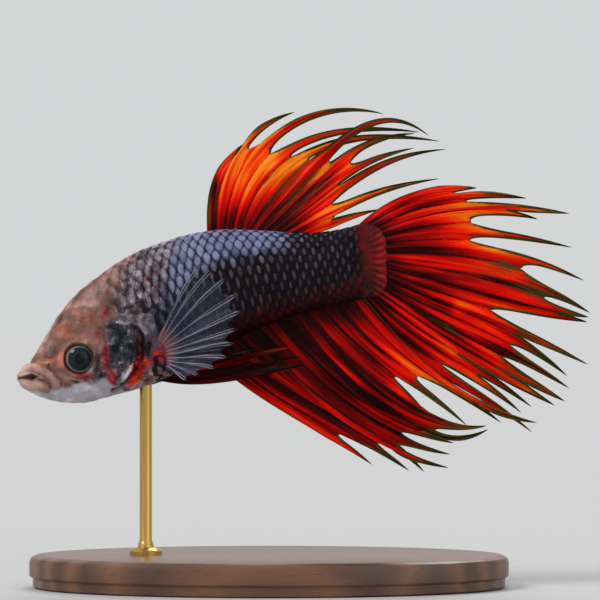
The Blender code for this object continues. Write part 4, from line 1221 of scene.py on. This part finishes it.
def fin_mesh(name, fin, fins, material, sign=1.0, seed=1, **fineness):
    """A fin as a closed sheet, thick on its rays and thin between them."""
    points, faces, numbers = [], [], {}
    start = 0
    for piece in fin_strips(fin, fins, seed=seed, **fineness):
        flat, depth, thin = (piece.pop(key) for key in ("flat", "depth", "thin"))
        for face in (-1, 1):
            y = sign * (depth + face * thin / 2)
            points.append(np.stack([flat[..., 0], y, flat[..., 1]], axis=-1).reshape(-1, 3))
            faces.append(grid_faces(*depth.shape, start=start))
            start += depth.size
            for key, value in piece.items():
                numbers.setdefault(key, []).append(value.ravel())
    numbers = {key: np.concatenate(value) for key, value in numbers.items()}
    made = add_mesh(name, bend(np.concatenate(points)), np.concatenate(faces), material, numbers)
    mend(made, FIN_WELD)
    return made


class BETTA_OT_fins(bpy.types.Operator):
    """Adds the dorsal, tail, anal, pelvic and pectoral fins, rayed and webbed"""

    bl_idname = "betta.fins"
    bl_label = "Fins"

    def execute(self, context):
        fins = context.scene.betta_fins
        red = make_fin_material(fins)
        clear = make_clear_fin_material(fins)
        dress(fin_mesh("fin_dorsal", DORSAL, fins, red, seed=3), "fin_red", "dorsal_fin")
        dress(fin_mesh("fin_tail", CAUDAL, fins, red, seed=4), "fin_red", "tail_fin")
        dress(fin_mesh("fin_anal", ANAL, fins, red, seed=5), "fin_red", "anal_fin")
        for side, sign in (("left", -1.0), ("right", 1.0)):
            pelvic = fin_mesh(f"fin_pelvic_{side}", PELVIC, fins, red, sign, seed=6, rows=60)
            dress(pelvic, "fin_red", f"pelvic_fin_{side}")
            pectoral = fin_mesh(f"fin_pectoral_{side}", PECTORAL, fins, clear, sign, seed=7, rows=70)
            dress(pectoral, "fin_clear", f"pectoral_fin_{side}")
        return {"FINISHED"}


def turned(name, middle, radii, profile, sides, material):
    """A piece turned round its upright axis. Rows of the profile are a share of the radii and a height."""
    turn = np.linspace(0, 2 * math.pi, sides, endpoint=False)
    rings = []
    for share, z in profile:
        x, y = middle[0] + radii[0] * share * np.cos(turn), middle[1] + radii[1] * share * np.sin(turn)
        rings.append(np.stack([x, y, 0 * turn + z], axis=-1))
    made = add_mesh(name, np.concatenate(rings), grid_faces(len(profile), sides, closed=True), material)
    mend(made, WELD, fill=True)
    made.data.set_sharp_from_angle(angle=math.radians(SHARP_EDGE))
    return made


class BETTA_OT_stand(bpy.types.Operator):
    """Adds the turned oval plinth and the brass rod that hold the fish up"""

    bl_idname = "betta.stand"
    bl_label = "Stand"

    def execute(self, context):
        low, high = in_mm(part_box("stand_base"))
        height = high[2] - low[2]
        profile = [(share, low[2] + height * rise) for share, rise in PLINTH_EDGE]
        walnut = make_walnut_material()
        base = turned("plinth", (low + high) / 2, (high - low) / 2, profile, PLINTH_SIDES, walnut)
        dress(base, "walnut", "stand_base")

        low, high = in_mm(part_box("stand_rod"))
        radius, foot = (high[0] - low[0]) / 2, height - ROD_SUNK
        profile = [(share, foot + rise) for share, rise in ROD_FOOT] + [(1.0, high[2]), (0.0, high[2])]
        brass = make_brass_material()
        rod = turned("brass_rod", (low + high) / 2, (radius, radius), profile, ROD_SIDES, brass)
        dress(rod, "brass", "stand_rod")
        return {"FINISHED"}


class BETTA_OT_stage(bpy.types.Operator):
    """Adds the pale floor, the soft studio lights and the camera"""

    bl_idname = "betta.stage"
    bl_label = "Stage"

    def execute(self, context):
        stage = context.scene.betta_stage
        made, node = new_material("backdrop_paper")
        paper = {"Base Color": tuple(stage.floor), "Roughness": 1.0, "Specular IOR Level": 0.0}
        node("OutputMaterial", {"Surface": node("BsdfPrincipled", paper)})
        corners = [(x * FLOOR_REACH, y * FLOOR_REACH, 0) for x, y in ((-1, -1), (1, -1), (1, 1), (-1, 1))]
        floor = add_mesh("floor", corners, [(0, 1, 2, 3)], made)

        world = bpy.data.worlds.new("studio")
        context.scene.world = world
        world.use_nodes = True
        background = world.node_tree.nodes["Background"]
        background.inputs["Color"].default_value = tuple(stage.backdrop)
        background.inputs["Strength"].default_value = 1.0

        for name, azimuth, height, power, softness in LAMPS:
            light = bpy.data.lights.new(name, "SUN")
            light.energy = power
            light.angle = math.radians(softness)
            turn, rise = math.radians(azimuth), math.radians(height)
            level = math.cos(rise)
            towards = Vector((math.cos(turn) * level, math.sin(turn) * level, math.sin(rise)))
            linked(name, light).rotation_euler = towards.to_track_quat("Z", "Y").to_euler()

        middle = Vector(VIEW_MIDDLE) * MM
        lens = bpy.data.cameras.new("camera")
        lens.sensor_width = 36.0
        lens.lens = lens.sensor_width * stage.distance / stage.view_width
        lens.clip_start = 0.01
        lens.clip_end = 20.0
        camera = linked("camera", lens)
        camera.location = middle - Vector((0, stage.distance, 0))
        camera.rotation_euler = (math.pi / 2, 0, 0)
        context.scene.camera = camera
        context.scene.view_settings.view_transform = "Standard"
        return {"FINISHED"}


class BETTA_PT_panel(bpy.types.Panel):
    """Lists the pieces of the betta in the order they are made"""

    bl_label = "Crowntail betta"
    bl_idname = "BETTA_PT_panel"
    bl_space_type = "VIEW_3D"
    bl_region_type = "UI"
    bl_category = "Betta"

    def draw(self, context):
        for settings in (context.scene.betta_body, context.scene.betta_fins, context.scene.betta_stage):
            for key in settings.__annotations__:
                self.layout.prop(settings, key)
        for operator in OPERATORS:
            self.layout.operator(operator.bl_idname)


OPERATORS = (BETTA_OT_stage, BETTA_OT_skin, BETTA_OT_scales, BETTA_OT_eyes, BETTA_OT_fins, BETTA_OT_stand)
GROUPS = {"betta_body": BettaBodySettings, "betta_fins": BettaFinSettings, "betta_stage": BettaStageSettings}
CLASSES = (*GROUPS.values(), *OPERATORS, BETTA_PT_panel)


def register():
    for each in CLASSES:
        bpy.utils.register_class(each)
    for key, group in GROUPS.items():
        setattr(bpy.types.Scene, key, PointerProperty(type=group))


def unregister():
    for key in GROUPS:
        delattr(bpy.types.Scene, key)
    for each in reversed(CLASSES):
        bpy.utils.unregister_class(each)


def main():
    register()
    bpy.ops.betta.stage()
    bpy.ops.betta.skin()
    bpy.ops.betta.scales()
    bpy.ops.betta.eyes()
    bpy.ops.betta.fins()
    bpy.ops.betta.stand()


if __name__ == "__main__":
    main()
